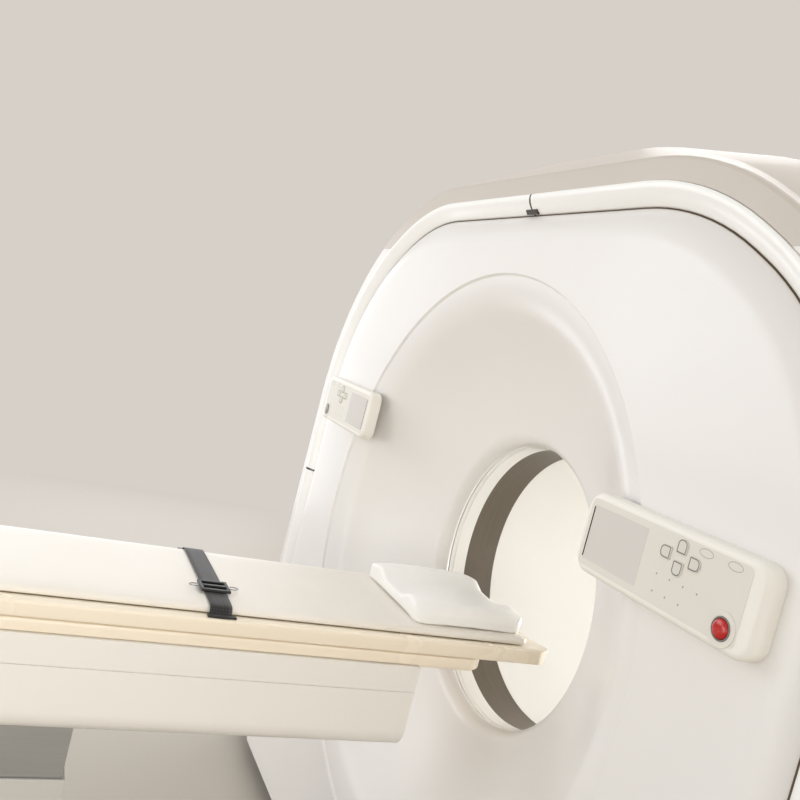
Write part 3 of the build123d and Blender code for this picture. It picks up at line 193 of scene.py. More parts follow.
# half width, height of the top over the scan axis, side and top corner radius, slant
RIM = (1.088, 0.927, 0.645, 0.660, 0.030)
COVER_INSET = 0.0085
BLOCK_DEPTH = 0.2
PILLOW_RADIUS = 0.107
PILLOW_STEPS = 16
COVER_EDGE_Y = FRONT_Y + 0.042
COVER_WALL = 0.005
DISH_EDGE = 0.733
EDGE_STEP = 0.0068
EDGE_STEP_WIDTH = 0.0062
SHOULDER_TURN = math.radians(42)
LIP_TURN = math.radians(19.18)
LIP_RADIUS = 0.045
LIP_CENTRE = Vector((0.395, -0.102, ISO_HEIGHT))
LIP_STEPS = 14
TURN_STEPS = 192
# how far out of the dish's edge, and how far down, in parts of the fine step there
step_shape = ((1.0, 0.0), (0.82, 0.10), (0.60, 0.42), (0.40, 0.74), (0.20, 0.93), (0.0, 1.0))


def shade(tree, tone, dark, light, relief, strength, height, settings, under=None):
    """Tones between two colours, a bump over the one under it, and the shader for both."""
    mixed = add_node(tree, "Mix", {"data_type": "RGBA"}, {
        0: tone, 6: hex_colour(dark), 7: hex_colour(light),
    })
    bump = add_node(tree, "Bump", inputs={
        "Height": relief, "Strength": strength, "Distance": height,
        **({"Normal": under} if under else {}),
    })
    shader = add_node(tree, "BsdfPrincipled", inputs={
        "Base Color": mixed.outputs[2], "Normal": bump.outputs["Normal"], **settings,
    })
    add_node(tree, "OutputMaterial", inputs={"Surface": shader.outputs["BSDF"]})


def satin_paint(name, colour, dark, roughness, peel=(5.0, 0.05), coat=0.0):
    """Sprayed or moulded skin: slow drift of tone and of gloss, and a soft orange peel.

    peel is the width and the height of the orange peel in millimetres.
    """
    made, tree, place = new_material(name)
    cloud = add_node(tree, "TexNoise", inputs={"Vector": place, "Scale": 1.6, "Detail": 2.0})
    smear = add_node(tree, "TexNoise", inputs={"Vector": place, "Scale": 9.0, "Detail": 4.0})
    gloss = add_node(tree, "MapRange", inputs={
        "Value": smear.outputs["Fac"], "To Min": roughness * 0.85, "To Max": roughness * 1.18,
    })
    skin = add_node(tree, "TexNoise", inputs={
        "Vector": place, "Scale": 1000.0 / peel[0], "Detail": 2.0, "Roughness": 0.5,
    })
    shade(tree, cloud.outputs["Fac"], dark, colour, skin.outputs["Fac"], 0.5, peel[1] / 1000, {
        "Roughness": gloss.outputs["Result"], "Coat Weight": coat, "Coat Roughness": 0.12,
        "IOR": 1.5,
    })
    return made


def arch_outline(bm, shape, grow, y):
    """Closed arched outline at one depth; its feet run below the floor, to be cut off."""
    known = {*bm.verts, *bm.edges}
    half, top, side_r, top_r, slant = shape
    rise, run = math.sin(CORNER_SPLIT), math.cos(CORNER_SPLIT)
    side_x, top_z = half - side_r, top - top_r
    side_z = top_z + (top_r - side_r) * rise - slant * run
    top_x = side_x + (side_r - top_r) * run - slant * rise
    foot = bm.verts.new((half + grow, y, BELOW_FLOOR))
    low = bm.verts.new((half + grow, y, ISO_HEIGHT + side_z))
    swept = bmesh.ops.spin(
        bm, geom=[low], cent=(side_x, y, ISO_HEIGHT + side_z), axis=(0, -1, 0),
        angle=CORNER_SPLIT, steps=SIDE_STEPS,
    )["geom_last"][0]
    shoulder = bm.verts.new((
        top_x + (top_r + grow) * run, y, ISO_HEIGHT + top_z + (top_r + grow) * rise,
    ))
    crown = bmesh.ops.spin(
        bm, geom=[shoulder], cent=(top_x, y, ISO_HEIGHT + top_z), axis=(0, -1, 0),
        angle=math.pi / 2 - CORNER_SPLIT, steps=TOP_STEPS,
    )["geom_last"][0]
    bm.edges.new((foot, low))
    bm.edges.new((swept, shoulder))
    half_line = [v for v in bm.verts if v not in known]
    half_edges = [e for e in bm.edges if e not in known]
    twin_of = bmesh.ops.duplicate(bm, geom=half_line + half_edges)["vert_map"]
    for vert in half_line:
        twin_of[vert].co.x *= -1
    bm.edges.new((crown, twin_of[crown]))
    bm.edges.new((foot, twin_of[foot]))
    return [e for e in bm.edges if e not in known]


def slice_at(bm, place, normal, drop=False):
    """Cut through everything along a plane, and drop what lies past it if asked."""
    bmesh.ops.bisect_plane(
        bm, geom=[*bm.verts, *bm.edges, *bm.faces], plane_co=place, plane_no=normal,
        clear_outer=drop,
    )


def cut_below(bm, height):
    """Take away what lies below a height, and leave a clean edge there."""
    slice_at(bm, (0, 0, height), (0, 0, -1), drop=True)


def at_depth(parts, y):
    """The edges or faces that lie wholly at one depth."""
    return [p for p in parts if all(abs(v.co.y - y) < 1e-5 for v in p.verts)]


def draw_out(bm, face, vec):
    """Extrude a lone face along a vector, and hand back the face at the far end."""
    made = bmesh.ops.extrude_face_region(bm, geom=[face])["geom"]
    end = [g for g in made if isinstance(g, bmesh.types.BMFace)][0]
    bmesh.ops.translate(bm, verts=end.verts, vec=vec)
    return end


def round_off(bm, geom, radius, segments, affect="EDGES"):
    """Bevel edges, or the corner points of a flat face, to a round profile."""
    bmesh.ops.bevel(
        bm, geom=geom, offset=radius, segments=segments, profile=0.5, affect=affect, material=-1,
    )


def inset(bm, face, width):
    """Inset a face evenly from its outline, and hand back the faces of the border."""
    return bmesh.ops.inset_region(
        bm, faces=[face], thickness=width, use_even_offset=True, use_boundary=True,
    )["faces"]


def full_turn(bm, geom, centre, steps=TURN_STEPS, axis=(0, 1, 0)):
    """Turn a line right round an axis, and join its end to its start."""
    bmesh.ops.spin(
        bm, geom=geom, cent=centre, axis=axis, angle=2 * math.pi, steps=steps, use_merge=True,
    )


def make_piece(bm, name, body, finish, replaces=(), smooth=35.0, wall=0.0, round_over=0.0):
    """Finished object from a bmesh: welded, shaded, walled, and riding on its body."""
    bmesh.ops.remove_doubles(bm, verts=bm.verts, dist=1e-6)
    bmesh.ops.recalc_face_normals(bm, faces=bm.faces)
    for face in bm.faces:
        face.smooth = True
    for edge in bm.edges:
        edge.smooth = len(edge.link_faces) != 2 or edge.calc_face_angle(0.0) < math.radians(smooth)
    piece = mesh_object(name, bm)
    for paint in finish if isinstance(finish, list) else [finish]:
        piece.data.materials.append(paint)
    if wall:
        shell = piece.modifiers.new("wall", "SOLIDIFY")
        shell.thickness, shell.offset, shell.use_even_offset = wall, -1.0, True
    if round_over:
        bevel = piece.modifiers.new("round_over", "BEVEL")
        bevel.width, bevel.segments, bevel.limit_method = round_over, 3, "ANGLE"
        bevel.angle_limit = math.radians(35)
    piece.modifiers.new("even_shading", "WEIGHTED_NORMAL").keep_sharp = True
    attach(piece, body)
    if replaces:
        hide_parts(*replaces)
    return piece


cover_paint = satin_paint("grp_sprayed_satin_white", "#EFECE8", "#E8E4DF", 0.34, coat=0.15)

bm = bmesh.new()
outline = arch_outline(bm, RIM, -COVER_INSET, FRONT_Y)
front = bmesh.ops.edgeloop_fill(bm, edges=outline)["faces"][0]
draw_out(bm, front, (0, BLOCK_DEPTH, 0))
round_off(bm, at_depth(bm.edges, FRONT_Y), PILLOW_RADIUS, PILLOW_STEPS)
slice_at(bm, (0, COVER_EDGE_Y, 0), (0, 1, 0), drop=True)
cut_below(bm, COVER_BOTTOM)
flat = at_depth(bm.faces, FRONT_Y)
rim_edges = [e for f in flat for e in f.edges]
bmesh.ops.delete(bm, geom=flat, context="FACES_ONLY")
rim_edges = [e for e in rim_edges if e.is_valid]

# the dish starts with a fine step, turns in over a soft shoulder, and hollows to the lip
line = [
    (DISH_EDGE + EDGE_STEP_WIDTH * out, FRONT_Y + EDGE_STEP * drop) for out, drop in step_shape
]
# the bends of shoulder and hollow follow from the place where the hollow meets the lip
lip_x = LIP_CENTRE.x - LIP_RADIUS * math.sin(LIP_TURN)
lip_y = LIP_CENTRE.y - LIP_RADIUS * math.cos(LIP_TURN)
across, deep = DISH_EDGE - lip_x, lip_y - FRONT_Y - EDGE_STEP
turn_across = math.sin(SHOULDER_TURN) - math.sin(LIP_TURN)
turn_deep = math.cos(LIP_TURN) - math.cos(SHOULDER_TURN)
shoulder_bend = (across * turn_deep - deep * turn_across) / (
    math.sin(SHOULDER_TURN) * turn_deep - (1 - math.cos(SHOULDER_TURN)) * turn_across
)
hollow_bend = (across - shoulder_bend * math.sin(SHOULDER_TURN)) / turn_across
shoulder_steps, hollow_steps = 14, 24
for step in range(1, shoulder_steps + 1):
    turn = SHOULDER_TURN * step / shoulder_steps
    line.append((
        DISH_EDGE - shoulder_bend * math.sin(turn),
        FRONT_Y + EDGE_STEP + shoulder_bend * (1 - math.cos(turn)),
    ))
for step in range(1, hollow_steps + 1):
    turn = SHOULDER_TURN + (LIP_TURN - SHOULDER_TURN) * step / hollow_steps
    line.append((
        lip_x + hollow_bend * (math.sin(turn) - math.sin(LIP_TURN)),
        lip_y + hollow_bend * (math.cos(turn) - math.cos(LIP_TURN)),
    ))
known = {*bm.verts, *bm.edges}
points = [bm.verts.new((x, y, ISO_HEIGHT)) for x, y in line]
for pair in zip(points, points[1:]):
    bm.edges.new(pair)
bmesh.ops.spin(
    bm, geom=[points[-1]], cent=LIP_CENTRE, axis=(0, 0, -1), angle=math.pi / 2 - LIP_TURN,
    steps=LIP_STEPS,
)
profile = [part for part in (*bm.verts, *bm.edges) if part not in known]
full_turn(bm, profile, (0, 0, ISO_HEIGHT))
dish_edges = [
    e for e in at_depth(bm.edges, FRONT_Y) if e not in known and len(e.link_faces) == 1
]
bmesh.ops.triangle_fill(bm, edges=rim_edges + dish_edges, use_beauty=True)
make_piece(
    bm, "front_cover_skin", "gantry", cover_paint, ["front_cover"],
    smooth=50.0, wall=COVER_WALL,
)

# Rim band. A rounded band of white polyurethane, moulded in four lengths and polished,
# clipped round the front cover. It stands proud and slopes back to a dark rubber seam.
BAND_WIDTH = 0.0430
BAND_LIP = 0.0025
BAND_DEPTH = 0.0283
SEAM_WIDTH = 0.0030
SEAM_RISE = 0.0032
SEAM_LAP = 0.0005
BAND_BACK = FRONT_Y + 0.034
BAND_WALL = 0.004
LASER_SLIT = 0.007
SLIT_DEPTH = 0.030
# how far in from the outline, and how far back from the crest
band_profile = [
    (-BAND_LIP, 0.0045), (-0.0016, 0.0020), (0.0010, 0.0006), (0.0050, 0.0), (0.0120, 0.0012),
    (0.0200, 0.0048), (0.0280, 0.0102), (0.0350, 0.0166), (0.0400, 0.0222), (0.0422, 0.0262),
    (BAND_WIDTH, 0.0310),
]
rim_gloss = satin_paint(
    "polyurethane_moulded_gloss_white", "#FCFBF7", "#F9F7F2", 0.30, peel=(9.0, 0.03), coat=0.25,
)
laser_glass = satin_paint(
    "acrylic_cast_dark", "#2B2622", "#1D1916", 0.08, peel=(20.0, 0.01), coat=0.6,
)
seam_rubber = satin_paint("epdm_extruded_brown", "#6B5A45", "#54452F", 0.75, peel=(1.5, 0.08))
bm = bmesh.new()
outline = arch_outline(bm, RIM, BAND_LIP, BAND_BACK)
face = bmesh.ops.edgeloop_fill(bm, edges=outline)["faces"][0]
face = draw_out(bm, face, (0, FRONT_Y + band_profile[0][1] - BAND_BACK, 0))
for (inward, depth), (next_inward, next_depth) in zip(band_profile, band_profile[1:]):
    inset(bm, face, next_inward - inward)
    bmesh.ops.translate(bm, verts=face.verts, vec=(0, next_depth - depth, 0))
bmesh.ops.delete(bm, geom=[face, *at_depth(bm.faces, BAND_BACK)], context="FACES")
cut_below(bm, COVER_BOTTOM)
half_slit = LASER_SLIT / 2
for edge in (-half_slit, half_slit):
    slice_at(bm, (0, 0, ISO_HEIGHT + edge), (0, 0, 1))
for edge in (-half_slit, half_slit):
    slice_at(bm, (edge, 0, 0), (1, 0, 0))
for face in bm.faces:
    middle = face.calc_center_median()
    in_slit = abs(middle.z - ISO_HEIGHT) < half_slit or abs(middle.x) < half_slit
    if in_slit and middle.y < FRONT_Y + SLIT_DEPTH:
        face.material_index = 1
make_piece(
    bm, "rim_band", "gantry", [rim_gloss, laser_glass],
    ["front_rim", "laser_windows"], smooth=40.0, wall=BAND_WALL,
)

# Laser lens housing. A small dark acrylic window at the foot of the top slit, let into
# the rim band; the positioning laser shines out of it.
LENS_SIZE = (0.050, 0.0135, 0.008)
LENS_TILT = math.radians(-52)
LENS_BACK, LENS_DOWN = 0.0180, 0.0365
LENS_EDGE = 0.0022


def edges_of(verts):
    """The edges that meet at these points, each one once."""
    return list(dict.fromkeys(e for v in verts for e in v.link_edges))


def rounded_block(bm, place, size, edge, tilt=0.0):
    """Add a small block with rounded edges; tilt turns it about the x axis."""
    block = bmesh.ops.create_cube(bm, size=1.0, matrix=(
        Matrix.Translation(place) @ Matrix.Rotation(tilt, 4, "X") @ Matrix.Diagonal((*size, 1.0))
    ))["verts"]
    round_off(bm, edges_of(block), edge, 3)


bm = bmesh.new()
lens_place = (0, FRONT_Y + LENS_BACK, ISO_HEIGHT + RIM[1] - LENS_DOWN)
rounded_block(bm, lens_place, LENS_SIZE, LENS_EDGE, LENS_TILT)
make_piece(bm, "laser_lens", "gantry", laser_glass, smooth=50.0)

# Seam strip. Extruded rubber that closes the joint between the band and the front cover;
# it reads as a thin dark brown line.
bm = bmesh.new()
outline = arch_outline(bm, RIM, -BAND_WIDTH + SEAM_LAP, FRONT_Y + BAND_DEPTH)
face = bmesh.ops.edgeloop_fill(bm, edges=outline)["faces"][0]
inset(bm, face, SEAM_WIDTH)
bmesh.ops.translate(bm, verts=face.verts, vec=(0, -SEAM_RISE, 0))
bmesh.ops.delete(bm, geom=[face], context="FACES")
cut_below(bm, COVER_BOTTOM)
make_piece(bm, "seam_strip", "gantry", seam_rubber)

# Gantry cap and side covers. Sprayed glass-fibre shells over the steel frame: a taupe
# bevelled cap on top, joined at the corners to warm white covers that run back.
SHOULDER = (1.150, 1.066, 0.650, 0.990, 0.207)
CROWN = (1.150, 1.091, 0.650, 1.000, 0.115)
CAP_JOINT = ISO_HEIGHT + 0.800
CAP_BACK = FRONT_Y + 0.3005
SKIRT_BOTTOM = 0.040
FLANGE_GAP = 0.0006
CT_BACK = 0.588
SHELL_WALL = 0.005
SHELL_EDGE = 0.0025
SIDES = ((-1, "left"), (1, "right"))
cap_paint = satin_paint("grp_sprayed_satin_taupe", "#CDC4B9", "#C6BCB0", 0.40, coat=0.1)
side_paint = satin_paint("grp_sprayed_satin_warm_white", "#E9E5DE", "#E8E3DC", 0.36, coat=0.12)
# outline, how far out of it, and how far back, from the rim's flange to the back
shell_rows = [
    (RIM, BAND_LIP + FLANGE_GAP, FRONT_Y + 0.016),
    (RIM, BAND_LIP + FLANGE_GAP, FRONT_Y + 0.0065),
    (RIM, BAND_LIP + FLANGE_GAP + 0.001, FRONT_Y + 0.006),
    (RIM, 0.044, FRONT_Y + 0.006),
    (RIM, 0.0500, FRONT_Y + 0.0085),
    (RIM, 0.052, FRONT_Y + 0.014),
    (SHOULDER, 0.0, FRONT_Y + 0.150),
    (CROWN, -0.0035, FRONT_Y + 0.288),
    (CROWN, 0.0, FRONT_Y + 0.300),
    (CROWN, 0.0, CT_BACK),
]
shell = bmesh.new()
loops = [arch_outline(shell, *row) for row in shell_rows]
for near, far in zip(loops, loops[1:]):
    bmesh.ops.bridge_loops(shell, edges=near + far)
cut_below(shell, SKIRT_BOTTOM)
for place, normal in (
    ((0, CAP_BACK, 0), (0, 1, 0)), ((0, 0, CAP_JOINT), (0, 0, 1)), ((0, 0, 0), (1, 0, 0)),
):
    slice_at(shell, place, normal)


def shell_part(keep):
    """Copy of the gantry shell with only the faces whose middle passes the test."""
    part = shell.copy()
    drop = [f for f in part.faces if not keep(f.calc_center_median())]
    bmesh.ops.delete(part, geom=drop, context="FACES")
    return part


def in_cap(p):
    """Whether a point of the shell belongs to the taupe cap."""
    return p.y < CAP_BACK and p.z > CAP_JOINT


make_piece(
    shell_part(in_cap), "cap_skin", "gantry", cap_paint, ["top_cover"],
    smooth=12.0, wall=SHELL_WALL, round_over=SHELL_EDGE,
)
for side, side_name in SIDES:
    make_piece(
        shell_part(lambda p: p.x * side > 0 and not in_cap(p)), f"side_skin_{side_name}",
        "gantry", side_paint, [f"side_cover_{side_name}"], smooth=12.0,
        wall=SHELL_WALL, round_over=SHELL_EDGE,
    )
shell.free()

# Bore rings. A cream moulded ring behind the lip, then a thin dark window of carbon film
# that lets the beam through. Each is a plain turned ring, butted with a fine joint.
RING_FRONT = -0.0980
RING_SHOULDER = -0.0860
RING_RELIEF = 0.0012
RING_JOINT = 0.0008
RING_WALL = 0.005
WINDOW_HALF = 0.047
WINDOW_WALL = 0.003
ring_gloss = satin_paint(
    "abs_moulded_gloss_cream", "#F5F3EE", "#F1EEE7", 0.22, peel=(8.0, 0.03), coat=0.3,
)


def turned_piece(
    points, name, body, finish, replaces=(), smooth=35.0, steps=TURN_STEPS,
    centre=(0.0, ISO_HEIGHT),
):
    """Piece turned about a line along the bore from a closed line of (radius, y) points."""
    bm = bmesh.new()
    line = [bm.verts.new((centre[0] + radius, y, centre[1])) for radius, y in points]
    edges = [bm.edges.new(pair) for pair in zip(line, line[1:] + line[:1])]
    full_turn(bm, [*line, *edges], (centre[0], 0, centre[1]), steps)
    make_piece(bm, name, body, finish, replaces, smooth)


turned_piece(
    [
        (BORE_RADIUS + RING_RELIEF, RING_FRONT), (BORE_RADIUS + RING_RELIEF, RING_SHOULDER),
        (BORE_RADIUS, RING_SHOULDER + 0.0008), (BORE_RADIUS, -WINDOW_HALF - RING_JOINT),
        (BORE_RADIUS + RING_WALL, -WINDOW_HALF - RING_JOINT),
        (BORE_RADIUS + RING_WALL, RING_FRONT),
    ],
    "entry_ring", "gantry", ring_gloss, ["bore_entry_ring"], smooth=30.0,
)

window_film, tree, place = new_material("carbon_film_rolled_brown")
turn = add_node(tree, "Mapping", inputs={"Vector": place, "Scale": (3.0, 260.0, 3.0)})
lines = add_node(tree, "TexNoise", inputs={
    "Vector": turn.outputs[0], "Scale": 1.0, "Detail": 3.0,
}).outputs["Fac"]
shade(tree, lines, "#5B5245", "#746A5B", lines, 0.3, 0.00004, {
    "Roughness": 0.42, "Specular IOR Level": 0.4,
})
turned_piece(
    [
        (BORE_RADIUS, -WINDOW_HALF), (BORE_RADIUS, WINDOW_HALF),
        (BORE_RADIUS + WINDOW_WALL, WINDOW_HALF), (BORE_RADIUS + WINDOW_WALL, -WINDOW_HALF),
    ],
    "beam_window", "gantry", window_film, ["scan_window"], smooth=30.0,
)

# End covers. Flat sprayed panels that close each gantry behind and between the two; the
# rear ones carry the cream bore tube, and the last one has a flared mouth.
PET_ARCH = (1.120, 1.050, 0.640, 0.900, 0.100)
PET_FRONT = 0.628
PET_BACK = 1.508
PET_BOTTOM = 0.070
FLARE_RADIUS = 0.470
FLARE_DEPTH = 0.075
FLARE_STEPS = 8
PLATE_INSET = 0.0056
PLATE_WALL = 0.004
PET_TUBE_START = PET_FRONT + 0.0056


def end_cover(name, body, shape, y_end, bottom, mouth, tube):
    """Arched end panel round a mouth; tube is the line of (radius, y) that turns into it."""
    bm = bmesh.new()
    line = [bm.verts.new((radius, y, ISO_HEIGHT)) for radius, y in tube]
    edges = [bm.edges.new(pair) for pair in zip(line, line[1:])]
    full_turn(bm, [*line, *edges], (0, 0, ISO_HEIGHT))
    outline = arch_outline(bm, shape, -PLATE_INSET, y_end)
    for vert in {v for e in outline for v in e.verts}:
        vert.co.z = max(vert.co.z, bottom)
    mouth_edges = [
        e for e in at_depth(bm.edges, y_end)
        if len(e.link_faces) == 1 and all(
            abs(math.hypot(v.co.x, v.co.z - ISO_HEIGHT) - mouth) < 1e-4 for v in e.verts
        )
    ]
    bmesh.ops.triangle_fill(bm, edges=outline + mouth_edges, use_beauty=True)
    for face in bm.faces:
        middle = face.calc_center_median()
        across = math.hypot(middle.x, middle.z - ISO_HEIGHT)
        face.material_index = 1 if across < BORE_RADIUS + 0.001 else 0
    make_piece(
        bm, f"{name}_skin", body, [side_paint, ring_gloss], [f"{name}_cover"],
        smooth=50.0, wall=PLATE_WALL,
    )


end_cover(
    "ct_rear", "gantry", CROWN, CT_BACK, COVER_BOTTOM, BORE_RADIUS,
    [(BORE_RADIUS, WINDOW_HALF + RING_JOINT), (BORE_RADIUS, CT_BACK)],
)
end_cover(
    "pet_front", "pet_gantry", PET_ARCH, PET_FRONT, PET_BOTTOM, BORE_RADIUS,
    [(BORE_RADIUS, PET_FRONT + PLATE_WALL), (BORE_RADIUS, PET_FRONT)],
)
flare = [
    (
        FLARE_RADIUS - (FLARE_RADIUS - BORE_RADIUS) * math.sin(step * math.pi / 2 / FLARE_STEPS),
        PET_BACK - FLARE_DEPTH * (1 - math.cos(step * math.pi / 2 / FLARE_STEPS)),
    )
    for step in range(FLARE_STEPS + 1)
]
end_cover(
    "pet_rear", "pet_gantry", PET_ARCH, PET_BACK, PET_BOTTOM, FLARE_RADIUS,
    [*flare, (BORE_RADIUS, PET_TUBE_START)],
)

# PET body cover. One sprayed wrap-round shell that rolls back with the PET gantry on its
# floor rails.
bm = bmesh.new()
loops = [arch_outline(bm, PET_ARCH, 0.0, y) for y in (PET_FRONT, PET_BACK)]
bmesh.ops.bridge_loops(bm, edges=loops[0] + loops[1])
cut_below(bm, PET_BOTTOM)
make_piece(
    bm, "pet_body_skin", "pet_gantry", side_paint, ["pet_body_cover"], smooth=30.0,
    wall=SHELL_WALL, round_over=SHELL_EDGE,
)

# Control panels. Thick moulded housings with soft edges, screwed to the front cover, and
# a printed polyester fascia let into each, with display, arrow keys and stop button.
PANEL_INNER = 0.560
PANEL_LENGTH = 0.414
PANEL_HEIGHT = 0.143
PANEL_Z = ISO_HEIGHT + 0.2785
PANEL_DEPTH = 0.036
PANEL_FACE = FRONT_Y - PANEL_DEPTH
PANEL_LAND = PANEL_FACE + 0.0004
PANEL_CORNER = 0.031
PANEL_EDGE = 0.0100
NOSE_LENGTH = 0.034
NOSE_DROP = 0.016
NOSE_STEPS = 10
STOP_X = PANEL_INNER + 0.357
STOP_Z = PANEL_Z - 0.0395
STOP_COLLAR = 0.027
STOP_HOLE = STOP_COLLAR - 0.0006
STOP_STEPS = 48
panel_abs = satin_paint(
    "abs_moulded_fine_satin_white", "#F4F0E7", "#EEE9DF", 0.38, peel=(2.5, 0.04),
)


def flat_plate(bm, matrix):
    """Add a rectangle, which is a metre square before the matrix sizes and places it."""
    return bmesh.ops.create_grid(bm, x_segments=1, y_segments=1, size=0.5, matrix=matrix)["verts"]


def facing_front(x, y, z, length=1.0, height=1.0):
    """Place and size for a flat shape made level: it is stood up to face the front."""
    return (
        Matrix.Translation((x, y, z)) @ Matrix.Rotation(math.pi / 2, 4, "X")
        @ Matrix.Diagonal((length, height, 1.0, 1.0))
    )


def mirror_to(bm, side):
    """Leave the right-hand shape, or turn it into its mirror image for the left side."""
    if side < 0:
        bmesh.ops.scale(bm, vec=(-1, 1, 1), verts=bm.verts)


for side, side_name in SIDES:
    bm = bmesh.new()
    plate = flat_plate(bm, facing_front(
        PANEL_INNER + PANEL_LENGTH / 2, FRONT_Y, PANEL_Z, PANEL_LENGTH, PANEL_HEIGHT,
    ))
    round_off(bm, plate, PANEL_CORNER, 8, "VERTICES")
    draw_out(bm, bm.faces[:][0], (0, PANEL_LAND - FRONT_Y, 0))
    round_off(bm, at_depth(bm.edges, PANEL_LAND), PANEL_EDGE, 6)
    bmesh.ops.delete(bm, geom=at_depth(bm.faces, FRONT_Y), context="FACES_ONLY")
    land = at_depth(bm.faces, PANEL_LAND)[0]
    land_edges = list(land.edges)
    bmesh.ops.delete(bm, geom=[land], context="FACES_ONLY")
    hole = bmesh.ops.create_circle(
        bm, segments=STOP_STEPS, radius=STOP_HOLE,
        matrix=facing_front(STOP_X, PANEL_LAND, STOP_Z),
    )["verts"]
    bmesh.ops.triangle_fill(bm, edges=land_edges + edges_of(hole), use_beauty=True)
    # the outer end droops like a nose, so it is cut into strips and each one is let down
    for step in range(NOSE_STEPS):
        nose_cut = PANEL_INNER + PANEL_LENGTH - NOSE_LENGTH * (1 - step / NOSE_STEPS)
        slice_at(bm, (nose_cut, 0, 0), (1, 0, 0))
    for vert in bm.verts:
        along = max(0.0, vert.co.x - (PANEL_INNER + PANEL_LENGTH - NOSE_LENGTH)) / NOSE_LENGTH
        raised = (FRONT_Y - vert.co.y) / PANEL_DEPTH
        vert.co.y += NOSE_DROP * (1 - math.sqrt(max(0.0, 1 - along * along))) * raised
    mirror_to(bm, side)
    make_piece(
        bm, f"panel_shell_{side_name}", "gantry", panel_abs,
        ["panel_housings"] if side > 0 else [], smooth=50.0,
    )

# Fascias and displays. Each fascia is a polyester film, printed on its back and glued to a
# flat plate; the display is a clear lens over a grey screen. Both are the CAD solids.
fascia_film = satin_paint(
    "polyester_printed_satin_grey", "#E6E1D7", "#DFDACF", 0.42, peel=(1.5, 0.02),
)
display_lens = satin_paint(
    "polycarbonate_lens_grey", "#E1DBD5", "#DAD4CE", 0.16, peel=(30.0, 0.02), coat=0.6,
)


def dress(finish, *nodes):
    """Give a finish to CAD nodes that show as they are."""
    for node in nodes:
        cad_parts[node].material_slots[0].material = finish


dress(fascia_film, "keypads")
dress(display_lens, "panel_displays")

# Emergency stops. A mushroom head of moulded nylon, 29 mm across, in a grey nylon collar on
# a round plate, screwed through the fascia. Both heads are red nylon; the left one is painted
# light grey, a painted highlight for its red face washed out by the light.
collar_dark = satin_paint("nylon_moulded_mid_grey", "#8C8780", "#7B766F", 0.45, peel=(1.2, 0.03))
stop_red = satin_paint(
    "nylon_moulded_signal_red", "#C4120C", "#B00E09", 0.22, peel=(6.0, 0.03), coat=0.3,
)
# painted highlight: the left head's red, washed out to a light grey
stop_red_painted_washed_out = satin_paint("nylon_red_painted_washed_out_grey", "#A9A5A0", "#9C9893", 0.3, peel=(6.0, 0.03))
# radius, and distance behind the fascia's face, round the section of each ring
collar_line = [
    (0.0152, 0.0080), (0.0152, -0.0008), (0.0156, -0.0014), (0.0172, -0.0014),
    (0.0177, -0.0008), (0.0177, 0.0080),
]
plate_line = [
    (0.0180, 0.0060), (0.0180, -0.0004), (0.0188, -0.0009), (0.0262, -0.0009),
    (STOP_COLLAR, -0.0003), (STOP_COLLAR, 0.0060),
]
head_line = [
    (0.0002, -0.0053), (0.0056, -0.0051), (0.0100, -0.0045), (0.0130, -0.0034),
    (0.0143, -0.0018), (0.0146, 0.0), (0.0146, 0.0030), (0.0140, 0.0037), (0.0090, 0.0037),
    (0.0090, 0.0078), (0.0002, 0.0078),
]
for side, side_name in SIDES:
    button = f"stop_button_{side_name}"
    # the left head gets the painted washed-out grey in place of its red
    head_nylon = stop_red if side > 0 else stop_red_painted_washed_out
    for part, line, body, finish, slot, replaces in (
        ("collar", collar_line, "gantry", collar_dark, None, []),
        ("plate", plate_line, "gantry", fascia_film, None, []),
        ("head", head_line, button, head_nylon, "stop_red", [button]),
    ):
        turned_piece(
            [(radius, PANEL_FACE + y) for radius, y in line], f"stop_{part}_{side_name}", body,
            finish, replaces, steps=STOP_STEPS, centre=(side * STOP_X, STOP_Z),
        )

# Arrow keys. Four soft keys to a panel, moulded in silicone in the fascia's colour, with a
# dark ring near the edge of each: partly print, partly painted shade for the line that
# falls along a raised key's edge.
ARROW_X = PANEL_INNER + 0.247
ARROW_Z = PANEL_Z + 0.027
KEY_LENGTH = 0.024
KEY_WIDTH = 0.022
KEY_POINT, KEY_HEEL = 0.0092, 0.0030
KEY_EDGE = 0.0007
KEY_MARGIN, KEY_OUTLINE = 0.0006, 0.0019
KEY_TOP = PANEL_FACE - 0.0020
KEY_FOOT = PANEL_FACE + 0.0050
key_soft = satin_paint("silicone_moulded_matt_grey", "#DDD9D0", "#D6D1C7", 0.5, peel=(1.2, 0.03))
edge_print_and_shade_ink = satin_paint("ink_printed_grey_with_painted_edge_shade", "#7E7A73", "#716D66", 0.5, peel=(1.0, 0.01))
